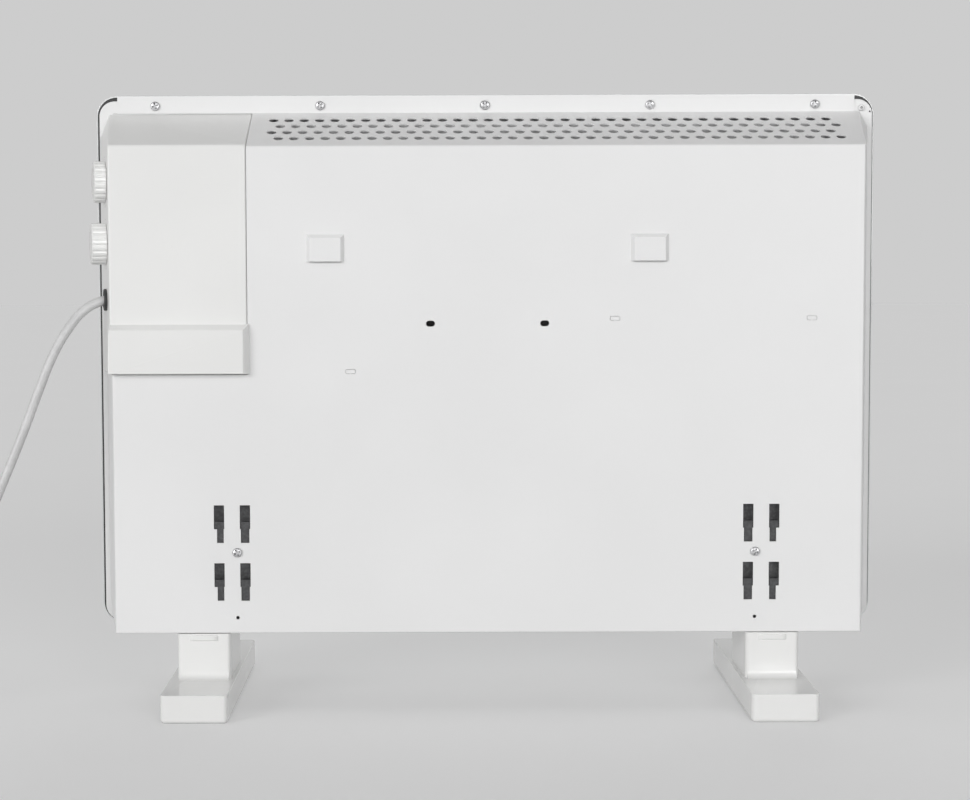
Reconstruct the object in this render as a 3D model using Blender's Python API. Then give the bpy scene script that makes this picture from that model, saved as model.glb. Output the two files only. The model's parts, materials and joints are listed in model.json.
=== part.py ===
"""Glass-fronted fan convector heater standing on two feet.

Frame: +Z up, the glass front faces -Y, the rear casing faces +Y, and the control box is at +X.
The origin is on the floor, in the middle of the two feet. All sizes are in metres.
"""

import math

import bmesh
import bpy
from mathutils import Matrix, Vector

GAP = 0.0003  # what two pieces that touch leave between their meshes
BITE = 0.002  # how far a cutter runs past the face that it opens

# ---- glass front panel ---------------------------------------------------------------------------
GLASS_WIDTH = 0.640
GLASS_HEIGHT = 0.437
GLASS_THICKNESS = 0.004
GLASS_CORNER = 0.017
GLASS_EDGE = 0.0007
GLASS_BOTTOM = 0.054

# ---- adhesive gasket and frame ring behind the glass ---------------------------------------------
GASKET_INSET = 0.0015
GASKET_WIDTH = 0.012
GASKET_INNER_CORNER = 0.004
GASKET_THICKNESS = 0.0015
FRAME_INSET = 0.006
FRAME_CORNER = 0.011
FRAME_DEPTH = 0.0206
FRAME_WALL = 0.0012
FRAME_LIP = 0.018

# ---- folded sheet rear casing --------------------------------------------------------------------
SHEET = 0.001
REAR_Y = 0.0576
SLOPE_RUN = 0.0616
SLOPE_DROP = 0.0296
CASING_SIDE_INSET = 0.0235  # each side of the rear face lies this far inside the glass's edge
CASING_TOP_INSET = 0.0160
CASING_BOTTOM_INSET = 0.0052
SIDE_FLARE = 0.0135
CORNER_FLARE = 0.0062
SIDE_TOP_DROP = 0.013
SIDE_FOOT_RISE = 0.010
FOLD_RADIUS = 0.0018
FLANGE_INSET = 0.021
FLANGE_HEIGHT = 0.0134

VENT_DIAMETER = 0.0079
VENT_PITCH = 0.01235
VENT_COLUMNS = 37
VENT_ROWS = 4
VENT_ROW_PITCH = 0.0130
VENT_FIRST_ROW = 0.0121
VENT_CENTRE_X = -0.0544
VENT_SIDES = 8

SLOT_WIDE = 0.0082
SLOT_WIDE_HEIGHT = 0.0191
SLOT_NARROW = {"outer": 0.0053, "inner": 0.0068}
SLOT_NARROW_SHIFT = {"outer": 0.0010, "inner": 0.0}  # towards the middle of the heater
SLOT_NARROW_HEIGHT = 0.0110
SLOT_COLUMN_PITCH = 0.0206
SLOT_ROW_PITCH = 0.0463
SLOT_TOP_Z = 0.1622
SLOT_GROUPS = {"left": 0.2030, "right": -0.2167}
HOOK_SCREW_SHIFT = {"left": -0.0040, "right": 0.0048}
HOOK_SCREW_Z = 0.1244

BRIDGE_X = 0.1276
BRIDGE_TOP_Z = 0.3761
BRIDGE_HEIGHT = 0.0214
BRIDGE_OUTER = 0.0298
BRIDGE_PAD = 0.0240
BRIDGE_RISE = 0.0036

CLIP_HOLE_X = 0.0450
CLIP_HOLE_Z = 0.3057
CLIP_HOLE_WIDTH = 0.0070
CLIP_HOLE_HEIGHT = 0.0046
PILOT_DIAMETER = 0.0028
PILOT_Z = 0.0722

LANCE_PLACES = ((-0.1004, 0.3095), (-0.2554, 0.3094), (0.1082, 0.2681))
LANCE_WIDTH = 0.0088
LANCE_HEIGHT = 0.0040
LANCE_RISE = 0.0004

INTAKE_COLUMNS = 11
INTAKE_PITCH = 0.033
INTAKE_LENGTH = 0.026
INTAKE_WIDTH = 0.006
INTAKE_ROWS = (0.014, 0.036)

# ---- screws --------------------------------------------------------------------------------------
FLANGE_SCREWS = 5
FLANGE_SCREW_PITCH = 0.1338
FLANGE_SCREW_RISE = 0.0058  # above the top of the slope
FLANGE_SCREW_X = 0.0006
SCREW_HEAD = 0.0074
SCREW_HEAD_HEIGHT = 0.0021
SCREW_SHANK = 0.0030
SCREW_LENGTH = 0.008
CORNER_SCREW_INSET = (0.0152, 0.0131)  # from the glass's side and top
CORNER_SCREW_HEAD = 0.0052
FOOT_SCREW_SHANK = 0.0040
FOOT_SCREW_LENGTH = 0.012

# ---- control box ---------------------------------------------------------------------------------
BOX_WALL = 0.0025
BOX_PROUD = 0.0014
BOX_WIDTH = 0.1082
BOX_OVERHANG = 0.0013  # past the end of the rear face
BOX_FLARE = 0.0157
BOX_BOTTOM = 0.2667
BOX_SIDE_TOP_DROP = 0.020
BOX_CORNER_FLARE = 0.0075
BOX_EDGE = 0.0015
BUMP_TOP_Z = 0.3062
BUMP_CHAMFER = 0.0048
BUMP_RISE = 0.0072
BUMP_SIDE = 0.0040
BUMP_LIP = 0.0016
GATE_MARK = (0.2560, 0.3566)
GATE_MARK_SIZE = 0.0042
GATE_MARK_DEPTH = 0.0003

# ---- controls on the slanted wall of the box -----------------------------------------------------
CONTROL_DEPTH = 0.0215
THERMOSTAT_Z = 0.4183
SELECTOR_Z = 0.3692
THERMOSTAT_KNOB_HEIGHT = 0.0096
SELECTOR_KNOB_HEIGHT = 0.0121
KNOB_RADIUS = 0.0164
KNOB_FLUTES = 20
KNOB_FLUTE_DEPTH = 0.0007
KNOB_ROUNDING = 0.0016
KNOB_STANDOFF = 0.0006
KNOB_BORE_DEPTH = 0.006
SHAFT_RADIUS = 0.003
SHAFT_REACH = 0.008
THERMOSTAT_BODY = (0.030, 0.026, 0.022)
THERMOSTAT_CORNER = 0.003
SELECTOR_RADIUS = 0.0145
SELECTOR_DEPTH = 0.020

# ---- mains cord ----------------------------------------------------------------------------------
GLAND_Z = 0.3248
GLAND_RADIUS = 0.0087
GLAND_PROUD = 0.0024
GLAND_NECK = 0.0060
GLAND_TAIL = 0.018
GLAND_ROOM = 0.0009
GLAND_EDGE = 0.0011
CORD_DIAMETER = 0.0076
CORD_SIDES = 2
COIL_X = 0.525
COIL_Y = 0.0079
COIL_RADIUS = 0.042
COIL_SLACK = 0.0006
COIL_TAIL = 0.036
CORD_ROUTE = (
    (0.312, 0.0385, 0.322), (0.322, 0.041, 0.3155), (0.3315, 0.044, 0.304), (0.344, 0.047, 0.283),
    (0.356, 0.049, 0.254), (0.368, 0.051, 0.222), (0.389, 0.051, 0.172), (0.411, 0.053, 0.121),
    (0.431, 0.056, 0.071), (0.442, 0.057, 0.043), (0.451, 0.0575, 0.0235), (0.461, 0.0578, 0.0115),
    (0.474, 0.058, 0.0055),
)
PLUG_RADIUS = 0.018
PLUG_LENGTH = 0.034
PLUG_TAIL = 0.022
PLUG_SLEEVE = 0.0015
PLUG_RIM = 0.010
PLUG_EDGE = 0.001
PIN_RADIUS = 0.0024
PIN_LENGTH = 0.019
PIN_SPACING = 0.019

# ---- feet ----------------------------------------------------------------------------------------
FOOT_X = 0.2278
FOOT_WIDTH = 0.0526
FOOT_LENGTH = 0.236
FOOT_HEIGHT = 0.0222
FOOT_ROUNDING = 0.0042
FOOT_LOW_EDGE = 0.0030
FOOT_TOP_EDGE = 0.0008
FOOT_PAD_LENGTH = 0.010
FOOT_ARCH = 0.0014  # how far the foot clears the floor between its two ends
FOOT_WALL = 0.0028
NECK_OUTER_INSET = 0.0063
NECK_INNER_INSET = 0.0037
NECK_FRONT_Y = -0.0245
NECK_BACK_INSET = 0.0030
NECK_CORNER = 0.0035
NECK_FILLET = 0.0057
NECK_TAB = (0.026, 0.0046, 0.0009)
NECK_TAB_DROP = 0.0018
FOOT_SCREW_Y = (0.006, 0.040)

# ---- element chamber -----------------------------------------------------------------------------
SHIELD_THICKNESS = 0.0008
SHIELD_MARGIN = 0.011
SHIELD_TOP_ROOM = 0.005
SHIELD_CORNER = 0.006
PARTITION_THICKNESS = 0.0008
PARTITION_GAP = 0.0030
PARTITION_TOP_ROOM = 0.0030
ELEMENT_LENGTH = 0.330
ELEMENT_X = -0.025
ELEMENT_Y = 0.024
ELEMENT_Z = (0.150, 0.225)
ELEMENT_CORE = 0.006
ELEMENT_FIN = 0.020
ELEMENT_FIN_THICKNESS = 0.0024
ELEMENT_NOTCHES = 6
ELEMENT_NOTCH = 0.0024
ELEMENT_STUD = 0.012
BRACKET_THICKNESS = 0.0012
BRACKET_MARGIN = 0.004
BRACKET_FOOT = 0.012
HOOK_PLATE_WIDTH = 0.046
HOOK_PLATE_THICKNESS = 0.0012
HOOK_PLATE_DEPTH = 0.0085
HOOK_PLATE_STEP = 0.0025
HOOK_PLATE_MARGIN = 0.012

# ---- turbo fan -----------------------------------------------------------------------------------
FAN_X = -0.010
FAN_Y = 0.0255
FAN_Z = 0.0905
FAN_RADIUS = 0.018
FAN_LENGTH = 0.130
FAN_BLADES = 12
FAN_BLADE = 0.0009
FAN_SHAFT = 0.002
FAN_PLATE = 0.0012
FAN_END_ROOM = 0.004
FAN_SHELL_GAP = 0.004
FAN_OUTLET_FRONT = 0.0121  # from the axis to the front and back edges of the air outlet
FAN_OUTLET_BACK = 0.0077
FAN_OUTLET_MARGIN = 0.006
FAN_DISC = 0.0015
MOTOR_SIZE = (0.022, 0.034, 0.044)
MOTOR_CORNER = 0.004

# ---- thermal cut-out, terminal block and wires ---------------------------------------------------
CUTOUT_RADIUS = 0.008
CUTOUT_DEPTH = 0.009
CUTOUT_AT = (0.060, 0.290)
TERMINAL_SIZE = (0.012, 0.020, 0.036)
TERMINAL_Y = 0.026
TERMINAL_Z = 0.322
WIRE_RADIUS = 0.0014
WIRE_HOLE = 0.008
WIRE_HOLE_AT = (0.020, 0.296)
WIRE_LEAD_END = (0.008, 0.010)  # from the terminal block's front lower corner, in Y and Z
WIRE_SWITCH_END = (0.010, 0.028)
WIRE_POST = 0.012  # how far a wire runs straight before it bends

# ---- places that follow from the sizes above -----------------------------------------------------
GLASS_TOP = GLASS_BOTTOM + GLASS_HEIGHT
REAR_HALF_WIDTH = GLASS_WIDTH / 2 - CASING_SIDE_INSET
FLANGE_HALF_WIDTH = GLASS_WIDTH / 2 - FLANGE_INSET
CASING_BOTTOM = GLASS_BOTTOM + CASING_BOTTOM_INSET
SLOPE_TOP_Z = GLASS_TOP - CASING_TOP_INSET
CREASE_Z = SLOPE_TOP_Z - SLOPE_DROP
FLANGE_SCREW_Z = SLOPE_TOP_Z + FLANGE_SCREW_RISE
CORNER_SCREW = (CORNER_SCREW_INSET[0] - GLASS_WIDTH / 2, GLASS_TOP - CORNER_SCREW_INSET[1])
BOX_OUTER_X = REAR_HALF_WIDTH + BOX_OVERHANG
BOX_INNER_X = BOX_OUTER_X - BOX_WIDTH
FLANGE_Y = REAR_Y - SLOPE_RUN
CASING_FRONT = FLANGE_Y - SHEET
FRAME_BACK = CASING_FRONT - GAP
FRAME_FRONT = FRAME_BACK - FRAME_DEPTH
GASKET_FRONT = FRAME_FRONT - GAP - GASKET_THICKNESS
GLASS_BACK = GASKET_FRONT - GAP
GLASS_MIDDLE_Z = GLASS_BOTTOM + GLASS_HEIGHT / 2
REAR_INSIDE = REAR_Y - SHEET
FLOOR_INSIDE = CASING_BOTTOM + SHEET
SLOPE = math.atan2(SLOPE_TOP_Z - CREASE_Z, SLOPE_RUN)
BOX_BACK = REAR_Y + BOX_PROUD
WALL_TILT = math.atan2(BOX_FLARE, BOX_BACK - CASING_FRONT)
SHIELD_BACK = FRAME_BACK + GAP + SHIELD_THICKNESS
ELEMENT_END_X = (ELEMENT_X - ELEMENT_LENGTH / 2, ELEMENT_X + ELEMENT_LENGTH / 2)


# ---- materials -----------------------------------------------------------------------------------

def material(name, colour, roughness, metallic=0.0):
    """A plain Principled material."""
    made = bpy.data.materials.new(name)
    made.use_nodes = True
    shader = made.node_tree.nodes["Principled BSDF"]
    shader.inputs["Base Color"].default_value = (*colour, 1.0)
    shader.inputs["Roughness"].default_value = roughness
    shader.inputs["Metallic"].default_value = metallic
    return made


# ---- shape helpers -------------------------------------------------------------------------------

def rounded_rectangle(width, height, radius, steps=4, centre=(0.0, 0.0)):
    """The outline of a rectangle with round corners, as 2-D points in order."""
    points = []
    for quarter, (sx, sy) in enumerate(((1, 1), (-1, 1), (-1, -1), (1, -1))):
        cx = centre[0] + sx * (width / 2 - radius)
        cy = centre[1] + sy * (height / 2 - radius)
        for step in range(steps + 1):
            angle = math.pi / 2 * (quarter + step / steps)
            points.append((cx + radius * math.cos(angle), cy + radius * math.sin(angle)))
    return points


def rectangle(x0, x1, y0, y1):
    """A rectangle's four corners as 2-D points in order."""
    return [(x0, y0), (x1, y0), (x1, y1), (x0, y1)]


def circle(radius, sides, centre=(0.0, 0.0)):
    """A regular polygon's corners as 2-D points in order."""
    turns = [2 * math.pi * (i + 0.5) / sides for i in range(sides)]
    return [(centre[0] + radius * math.cos(t), centre[1] + radius * math.sin(t)) for t in turns]


def place(point, along, axis):
    """A 2-D point of an outline as a 3-D point, at a distance along the outline's normal axis."""
    a, b = point
    return {"X": (along, a, b), "Y": (a, along, b), "Z": (a, b, along)}[axis]


def add_prism(bm, outline, axis, low, high):
    """Extrude a closed outline along an axis into an existing bmesh."""
    face = bm.faces.new([bm.verts.new(place(p, low, axis)) for p in outline])
    result = bmesh.ops.extrude_face_region(bm, geom=[face])
    moved = [v for v in result["geom"] if isinstance(v, bmesh.types.BMVert)]
    bmesh.ops.translate(bm, verts=moved, vec=Vector(place((0, 0), high - low, axis)))
    return bm


def prism(outline, axis, low, high):
    """A new bmesh that holds one extruded outline."""
    return add_prism(bmesh.new(), outline, axis, low, high)


def add_hull(bm, points):
    """Add the convex solid around some points."""
    verts = [bm.verts.new(p) for p in points]
    result = bmesh.ops.convex_hull(bm, input=verts)
    spare = [v for v in result["geom_interior"] if isinstance(v, bmesh.types.BMVert)]
    bmesh.ops.delete(bm, geom=spare, context="VERTS")
    return bm


def turned(profile, sides):
    """A profile of (radius, height) points spun round Z; it starts and ends on the axis or closes."""
    bm = bmesh.new()
    verts = [bm.verts.new((r, 0, z)) for r, z in profile]
    edges = [bm.edges.new(pair) for pair in zip(verts, verts[1:])]
    if profile[0][0] > 0:
        edges.append(bm.edges.new((verts[-1], verts[0])))
    bmesh.ops.spin(bm, geom=verts + edges, cent=(0, 0, 0), axis=(0, 0, 1), angle=2 * math.pi,
                   steps=sides, use_merge=True)
    bmesh.ops.remove_doubles(bm, verts=bm.verts, dist=1e-6)
    return bm


def ring_prism(outer, inner, low, high):
    """A flat ring between two outlines with as many points each, lying across Y."""
    bm = bmesh.new()
    loops = [[bm.verts.new(place(p, y, "Y")) for p in outline]
             for outline, y in ((outer, low), (outer, high), (inner, high), (inner, low))]
    for one, two in zip(loops, loops[1:] + loops[:1]):
        for i in range(len(outer)):
            bm.faces.new((one[i - 1], one[i], two[i], two[i - 1]))
    return bm


def finish(bm):
    """Weld, point the faces outwards and merge flat neighbours."""
    bmesh.ops.remove_doubles(bm, verts=bm.verts, dist=1e-7)
    bmesh.ops.dissolve_limit(bm, angle_limit=0.0001, verts=bm.verts, edges=bm.edges)
    bmesh.ops.recalc_face_normals(bm, faces=bm.faces)
    return bm


def new_object(name, bm, parent=None):
    """Turn a bmesh into an object of the scene."""
    mesh = bpy.data.meshes.new(name)
    finish(bm).to_mesh(mesh)
    bm.free()
    made = bpy.data.objects.new(name, mesh)
    bpy.context.collection.objects.link(made)
    made.parent = parent
    return made


def piece(name, bm, finish_with, parent=None, smooth=None):
    """A part of the heater: an object with a material, shaded smooth below an angle if asked."""
    made = new_object(name, bm, parent)
    made.data.materials.append(finish_with)
    if smooth:
        made.data.shade_smooth()
        made.data.set_sharp_from_angle(angle=math.radians(smooth))
    return made


def change(target, name, bm, operation="DIFFERENCE", parent=None):
    """Cut a shape from a part, or join it on, with a hidden guide object."""
    guide = new_object(f"{target.name}_{name}", bm, parent)
    guide.hide_render = True
    guide.display_type = "WIRE"
    guide.hide_set(True)
    modifier = target.modifiers.new(name, "BOOLEAN")
    modifier.operation = operation
    modifier.solver = "EXACT"
    modifier.object = guide
    return guide


def bevel(target, width, segments=1, angle=40):
    """Break a part's sharp edges."""
    modifier = target.modifiers.new("edges", "BEVEL")
    modifier.width = width
    modifier.segments = segments
    modifier.limit_method = "ANGLE"
    modifier.angle_limit = math.radians(angle)
    modifier.harden_normals = False


def anchor(name, location, rotation=None):
    """An empty that carries pieces with a place and a direction of their own."""
    empty = bpy.data.objects.new(name, None)
    bpy.context.collection.objects.link(empty)
    empty.matrix_world = Matrix.Translation(location) @ (rotation or Matrix()).to_4x4()
    return empty


# ---- glass, gasket and frame ---------------------------------------------------------------------

def panel_outline(inset, radius):
    """The glass panel's outline taken in by an inset."""
    width, height = GLASS_WIDTH - 2 * inset, GLASS_HEIGHT - 2 * inset
    return rounded_rectangle(width, height, radius, centre=(0, GLASS_MIDDLE_Z))


def build_front(finishes):
    """The glass, its gasket and the channel-section frame ring."""
    glass = prism(panel_outline(0, GLASS_CORNER), "Y", GLASS_BACK - GLASS_THICKNESS, GLASS_BACK)
    bevel(piece("front_glass", glass, finishes["glass"]), GLASS_EDGE)

    gasket = ring_prism(
        panel_outline(GASKET_INSET, GLASS_CORNER - GASKET_INSET),
        panel_outline(GASKET_INSET + GASKET_WIDTH, GASKET_INNER_CORNER),
        GASKET_FRONT, GASKET_FRONT + GASKET_THICKNESS)
    piece("glass_gasket", gasket, finishes["rubber"])

    outer = panel_outline(FRAME_INSET, FRAME_CORNER)
    lip = panel_outline(FRAME_INSET + FRAME_LIP, FRAME_CORNER / 2)
    ring = ring_prism(outer, lip, FRAME_FRONT, FRAME_BACK)
    frame = piece("front_frame", ring, finishes["white_steel"])
    channel = ring_prism(
        panel_outline(FRAME_INSET + FRAME_WALL, FRAME_CORNER - FRAME_WALL),
        panel_outline(FRAME_INSET + FRAME_LIP + BITE, FRAME_CORNER / 3),
        FRAME_FRONT + FRAME_WALL, FRAME_BACK - FRAME_WALL)
    change(frame, "channel", channel)
    holes = bmesh.new()
    for x in flange_screw_places():
        add_prism(holes, circle(SCREW_SHANK / 2 + GAP, 8, (x, FLANGE_SCREW_Z)), "Y",
                  FRAME_BACK - FRAME_WALL - BITE, FRAME_BACK + BITE)
    add_prism(holes, circle(SCREW_SHANK / 2 + GAP, 8, CORNER_SCREW), "Y",
              FRAME_BACK - FRAME_WALL - BITE, FRAME_BACK + BITE)
    change(frame, "holes", holes)


# ---- rear casing ---------------------------------------------------------------------------------

def casing_section(y, inset, flared=False):
    """The casing's outline at a depth, taken in by an inset; the flared one has cut-off corners."""
    share = (REAR_Y - y) / (REAR_Y - CASING_FRONT)
    side = REAR_HALF_WIDTH + SIDE_FLARE * share - inset
    corner = REAR_HALF_WIDTH + CORNER_FLARE * share - inset
    low = CASING_BOTTOM + inset
    top = CREASE_Z + (REAR_Y - y) * math.tan(SLOPE) - inset / math.cos(SLOPE)
    corners = [(side, low + SIDE_FOOT_RISE * share), (side, top - SIDE_TOP_DROP * share), (corner, top),
               (REAR_HALF_WIDTH - inset, low)]
    return [(sx * x, y, z) for sx in (1, -1) for x, z in (corners if flared else corners[:2])]


def casing_shell(inset, front):
    """The solid inside the casing's outer or inner surface, with its rear folds rounded."""
    radius = FOLD_RADIUS - inset
    points = casing_section(front, inset, flared=True)
    for angle in (0, math.pi / 4, math.pi / 2):
        set_back, set_in = radius * (1 - math.sin(angle)), radius * (1 - math.cos(angle))
        points += casing_section(REAR_Y - inset - set_back, inset + set_in)
    return add_hull(bmesh.new(), points)


def slope_matrix():
    """X along the slope, Y up the slope, Z out of it, from the middle of the crease."""
    up = Vector((0, -math.cos(SLOPE), math.sin(SLOPE)))
    out = Vector((0, math.sin(SLOPE), math.cos(SLOPE)))
    turn = Matrix((Vector((-1, 0, 0)), up, out)).transposed()
    return Matrix.Translation((0, REAR_Y, CREASE_Z)) @ turn.to_4x4()


def vent_cutters():
    """The slope's staggered rows of round vents."""
    bm = bmesh.new()
    for row in range(VENT_ROWS):
        shift = VENT_PITCH / 4 * (1 if row % 2 else -1)
        for column in range(VENT_COLUMNS):
            x = VENT_CENTRE_X + shift + (column - (VENT_COLUMNS - 1) / 2) * VENT_PITCH
            up = VENT_FIRST_ROW + row * VENT_ROW_PITCH
            outline = circle(VENT_DIAMETER / 2, VENT_SIDES, (-x, up))
            add_prism(bm, outline, "Z", -SHEET - BITE, BITE)
    bmesh.ops.transform(bm, matrix=slope_matrix(), verts=bm.verts)
    return bm


def slot_outlines():
    """Each T-slot's outline: a wide part with a narrow part below it."""
    made = []
    for group_x in SLOT_GROUPS.values():
        towards_middle = -1 if group_x > 0 else 1
        for column, reach in (("outer", -1), ("inner", 1)):
            x = group_x + towards_middle * reach * SLOT_COLUMN_PITCH / 2
            low_x = x + towards_middle * SLOT_NARROW_SHIFT[column]
            wide, narrow = SLOT_WIDE / 2, SLOT_NARROW[column] / 2
            for row in range(2):
                top = SLOT_TOP_Z - row * SLOT_ROW_PITCH
                middle = top - SLOT_WIDE_HEIGHT
                bottom = middle - SLOT_NARROW_HEIGHT
                made.append([(x - wide, top), (x - wide, middle), (low_x - narrow, middle),
                             (low_x - narrow, bottom), (low_x + narrow, bottom), (low_x + narrow, middle),
                             (x + wide, middle), (x + wide, top)])
    return made


def rear_face_cutters():
    """Everything that is punched through the vertical rear face."""
    bm = bmesh.new()
    low, high = REAR_INSIDE - BITE, REAR_Y + BITE
    for outline in slot_outlines():
        add_prism(bm, outline, "Y", low, high)
    for side, x in SLOT_GROUPS.items():
        screw_x = x + HOOK_SCREW_SHIFT[side]
        add_prism(bm, circle(SCREW_SHANK / 2 + GAP, 8, (screw_x, HOOK_SCREW_Z)), "Y", low, high)
        add_prism(bm, circle(PILOT_DIAMETER / 2, 8, (screw_x, PILOT_Z)), "Y", low, high)
    for x in (-CLIP_HOLE_X, CLIP_HOLE_X):
        outline = rounded_rectangle(CLIP_HOLE_WIDTH, CLIP_HOLE_HEIGHT, CLIP_HOLE_HEIGHT / 2 - 1e-5,
                                    steps=4, centre=(x, CLIP_HOLE_Z))
        add_prism(bm, outline, "Y", low, high)
    return bm


def bridge_solid(inset, low_y):
    """The two pressed bridges' outer or inner shape; they are open at the bottom."""
    bm = bmesh.new()
    top, bottom = BRIDGE_TOP_Z - inset, BRIDGE_TOP_Z - BRIDGE_HEIGHT - (BITE if inset else 0)
    for sx in (-1, 1):
        wide, pad = BRIDGE_OUTER / 2 - inset, BRIDGE_PAD / 2 - inset
        pad_y, pad_drop = REAR_Y + BRIDGE_RISE - inset, (BRIDGE_OUTER - BRIDGE_PAD) / 2
        points = [(sx * BRIDGE_X + s * w, y, z) for s in (-1, 1)
                  for w, y, z in ((wide, low_y, top), (wide, low_y, bottom), (pad, pad_y, bottom),
                                  (pad, pad_y, top - pad_drop), (wide, REAR_Y - inset, top),
                                  (wide, REAR_Y - inset, bottom))]
        add_hull(bm, points)
    return bm


def lanced_pads(low_y):
    """The small half-sheared rectangles that stand proud of the rear face."""
    bm = bmesh.new()
    wide, high = LANCE_WIDTH / 2, LANCE_HEIGHT / 2
    for x, z in LANCE_PLACES:
        pad = rectangle(x - wide, x + wide, z - high, z + high)
        add_prism(bm, pad, "Y", low_y, REAR_Y + LANCE_RISE)
    return bm


def intake_cutters():
    """The air intake slots in the casing's floor."""
    bm = bmesh.new()
    for column in range(INTAKE_COLUMNS):
        x = (column - (INTAKE_COLUMNS - 1) / 2) * INTAKE_PITCH
        for y in INTAKE_ROWS:
            outline = rounded_rectangle(INTAKE_LENGTH, INTAKE_WIDTH, INTAKE_WIDTH * 0.3,
                                        steps=1, centre=(x, y))
            add_prism(bm, outline, "Z", CASING_BOTTOM - BITE, FLOOR_INSIDE + BITE)
    return bm


def foot_screw_places():
    """(name, x, y) of each screw that holds a foot to the casing's floor."""
    return [(f"foot_screw_{side}_{i + 1}", sx * neck_middle(), y)
            for side, sx in (("left", 1), ("right", -1)) for i, y in enumerate(FOOT_SCREW_Y)]


def flange_screw_places():
    """The x of each screw in the top flange."""
    middle = (FLANGE_SCREWS - 1) / 2
    return [FLANGE_SCREW_X + (middle - i) * FLANGE_SCREW_PITCH for i in range(FLANGE_SCREWS)]


def build_casing(finishes):
    """The one folded, punched and pressed sheet that closes the back."""
    casing = piece("rear_casing", casing_shell(0, CASING_FRONT), finishes["white_steel"])
    change(casing, "inside", casing_shell(SHEET, CASING_FRONT - BITE))
    flange_top = SLOPE_TOP_Z + FLANGE_HEIGHT
    flange_outline = rectangle(-FLANGE_HALF_WIDTH, FLANGE_HALF_WIDTH, SLOPE_TOP_Z - SHEET / 2, flange_top)
    flange = prism(flange_outline, "Y", CASING_FRONT, FLANGE_Y)
    change(casing, "flange", flange, "UNION")
    change(casing, "bridges", bridge_solid(0, REAR_Y - SHEET / 2), "UNION")
    change(casing, "bridge_pockets", bridge_solid(SHEET, REAR_INSIDE - BITE))
    change(casing, "lanced_pads", lanced_pads(REAR_Y - SHEET / 2), "UNION")
    change(casing, "vents", vent_cutters())
    change(casing, "punched", rear_face_cutters())
    change(casing, "intake", intake_cutters())
    front, low = CASING_FRONT - BITE, BOX_BOTTOM - GAP * 3
    step_y, step_z = FLANGE_Y + GAP, SLOPE_TOP_Z - GAP
    notch = [(front, low), (BOX_BACK + BITE, low), (BOX_BACK + BITE, SLOPE_TOP_Z + BITE),
             (step_y, SLOPE_TOP_Z + BITE), (step_y, step_z), (front, step_z)]
    change(casing, "box_notch", prism(notch, "X", BOX_INNER_X - GAP * 3, GLASS_WIDTH / 2))
    screws = bmesh.new()
    for x in flange_screw_places():
        add_prism(screws, circle(SCREW_SHANK / 2 + GAP, 8, (x, FLANGE_SCREW_Z)), "Y",
                  CASING_FRONT - BITE, FLANGE_Y + BITE)
    for _, x, y in foot_screw_places():
        add_prism(screws, circle(FOOT_SCREW_SHANK / 2 + GAP, 8, (x, y)), "Z",
                  CASING_BOTTOM - BITE, FLOOR_INSIDE + BITE)
    change(casing, "screw_holes", screws)


# ---- screws --------------------------------------------------------------------------------------

def screw_shape(head, shank, length):
    """A pan-head screw along Z, its head's seat at z = 0 and its shank below."""
    head_r, shank_r = head / 2, shank / 2
    profile = [(0, SCREW_HEAD_HEIGHT), (head_r * 0.75, SCREW_HEAD_HEIGHT * 0.85),
               (head_r, SCREW_HEAD_HEIGHT * 0.2), (head_r, 0), (shank_r, 0), (shank_r, -length), (0, -length)]
    return turned(profile, 8)


def build_screws(finishes):
    """The screws in the flange, the frame's corner, the hook plates and the feet."""
    backwards = Matrix.Rotation(-math.pi / 2, 4, "X")
    for i, x in enumerate(flange_screw_places()):
        seat = anchor(f"seat_flange_{i + 1}", (x, FLANGE_Y + GAP, FLANGE_SCREW_Z), backwards)
        piece(f"flange_screw_{i + 1}", screw_shape(SCREW_HEAD, SCREW_SHANK, SCREW_LENGTH),
              finishes["zinc"], seat, smooth=35)
    corner_x, corner_z = CORNER_SCREW
    seat = anchor("seat_corner", (corner_x, FRAME_BACK + GAP, corner_z), backwards)
    piece("corner_screw", screw_shape(CORNER_SCREW_HEAD, SCREW_SHANK, SCREW_LENGTH),
          finishes["zinc"], seat, smooth=35)
    for side, x in SLOT_GROUPS.items():
        place_at = (x + HOOK_SCREW_SHIFT[side], REAR_Y + GAP, HOOK_SCREW_Z)
        seat = anchor(f"seat_hook_{side}", place_at, backwards)
        long_screw = screw_shape(SCREW_HEAD, SCREW_SHANK, HOOK_PLATE_DEPTH + SCREW_LENGTH / 2)
        piece(f"hook_screw_{side}", long_screw, finishes["zinc"], seat, smooth=35)
    upwards = Matrix.Rotation(math.pi, 4, "X")
    for name, x, y in foot_screw_places():
        seat = anchor(f"seat_{name}", (x, y, CASING_BOTTOM - GAP - FOOT_WALL - GAP), upwards)
        piece(name, screw_shape(SCREW_HEAD, FOOT_SCREW_SHANK, FOOT_SCREW_LENGTH),
              finishes["zinc"], seat, smooth=35)


# ---- control box ---------------------------------------------------------------------------------

def box_section(y, inset):
    """The control box's five-cornered outline at a depth."""
    share = (BOX_BACK - y) / (BOX_BACK - CASING_FRONT)
    side = BOX_OUTER_X + BOX_FLARE * share - inset
    corner = BOX_OUTER_X + BOX_CORNER_FLARE * share - inset
    top = CREASE_Z + BOX_PROUD / 2 - inset + (SLOPE_TOP_Z - 2 * GAP - CREASE_Z - BOX_PROUD / 2) * share
    side_top = top - BOX_SIDE_TOP_DROP * share
    inner = BOX_INNER_X + inset
    return [(inner, y, BOX_BOTTOM + inset), (inner, y, top), (corner, y, top), (side, y, side_top),
            (side, y, BOX_BOTTOM + inset)]


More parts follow.
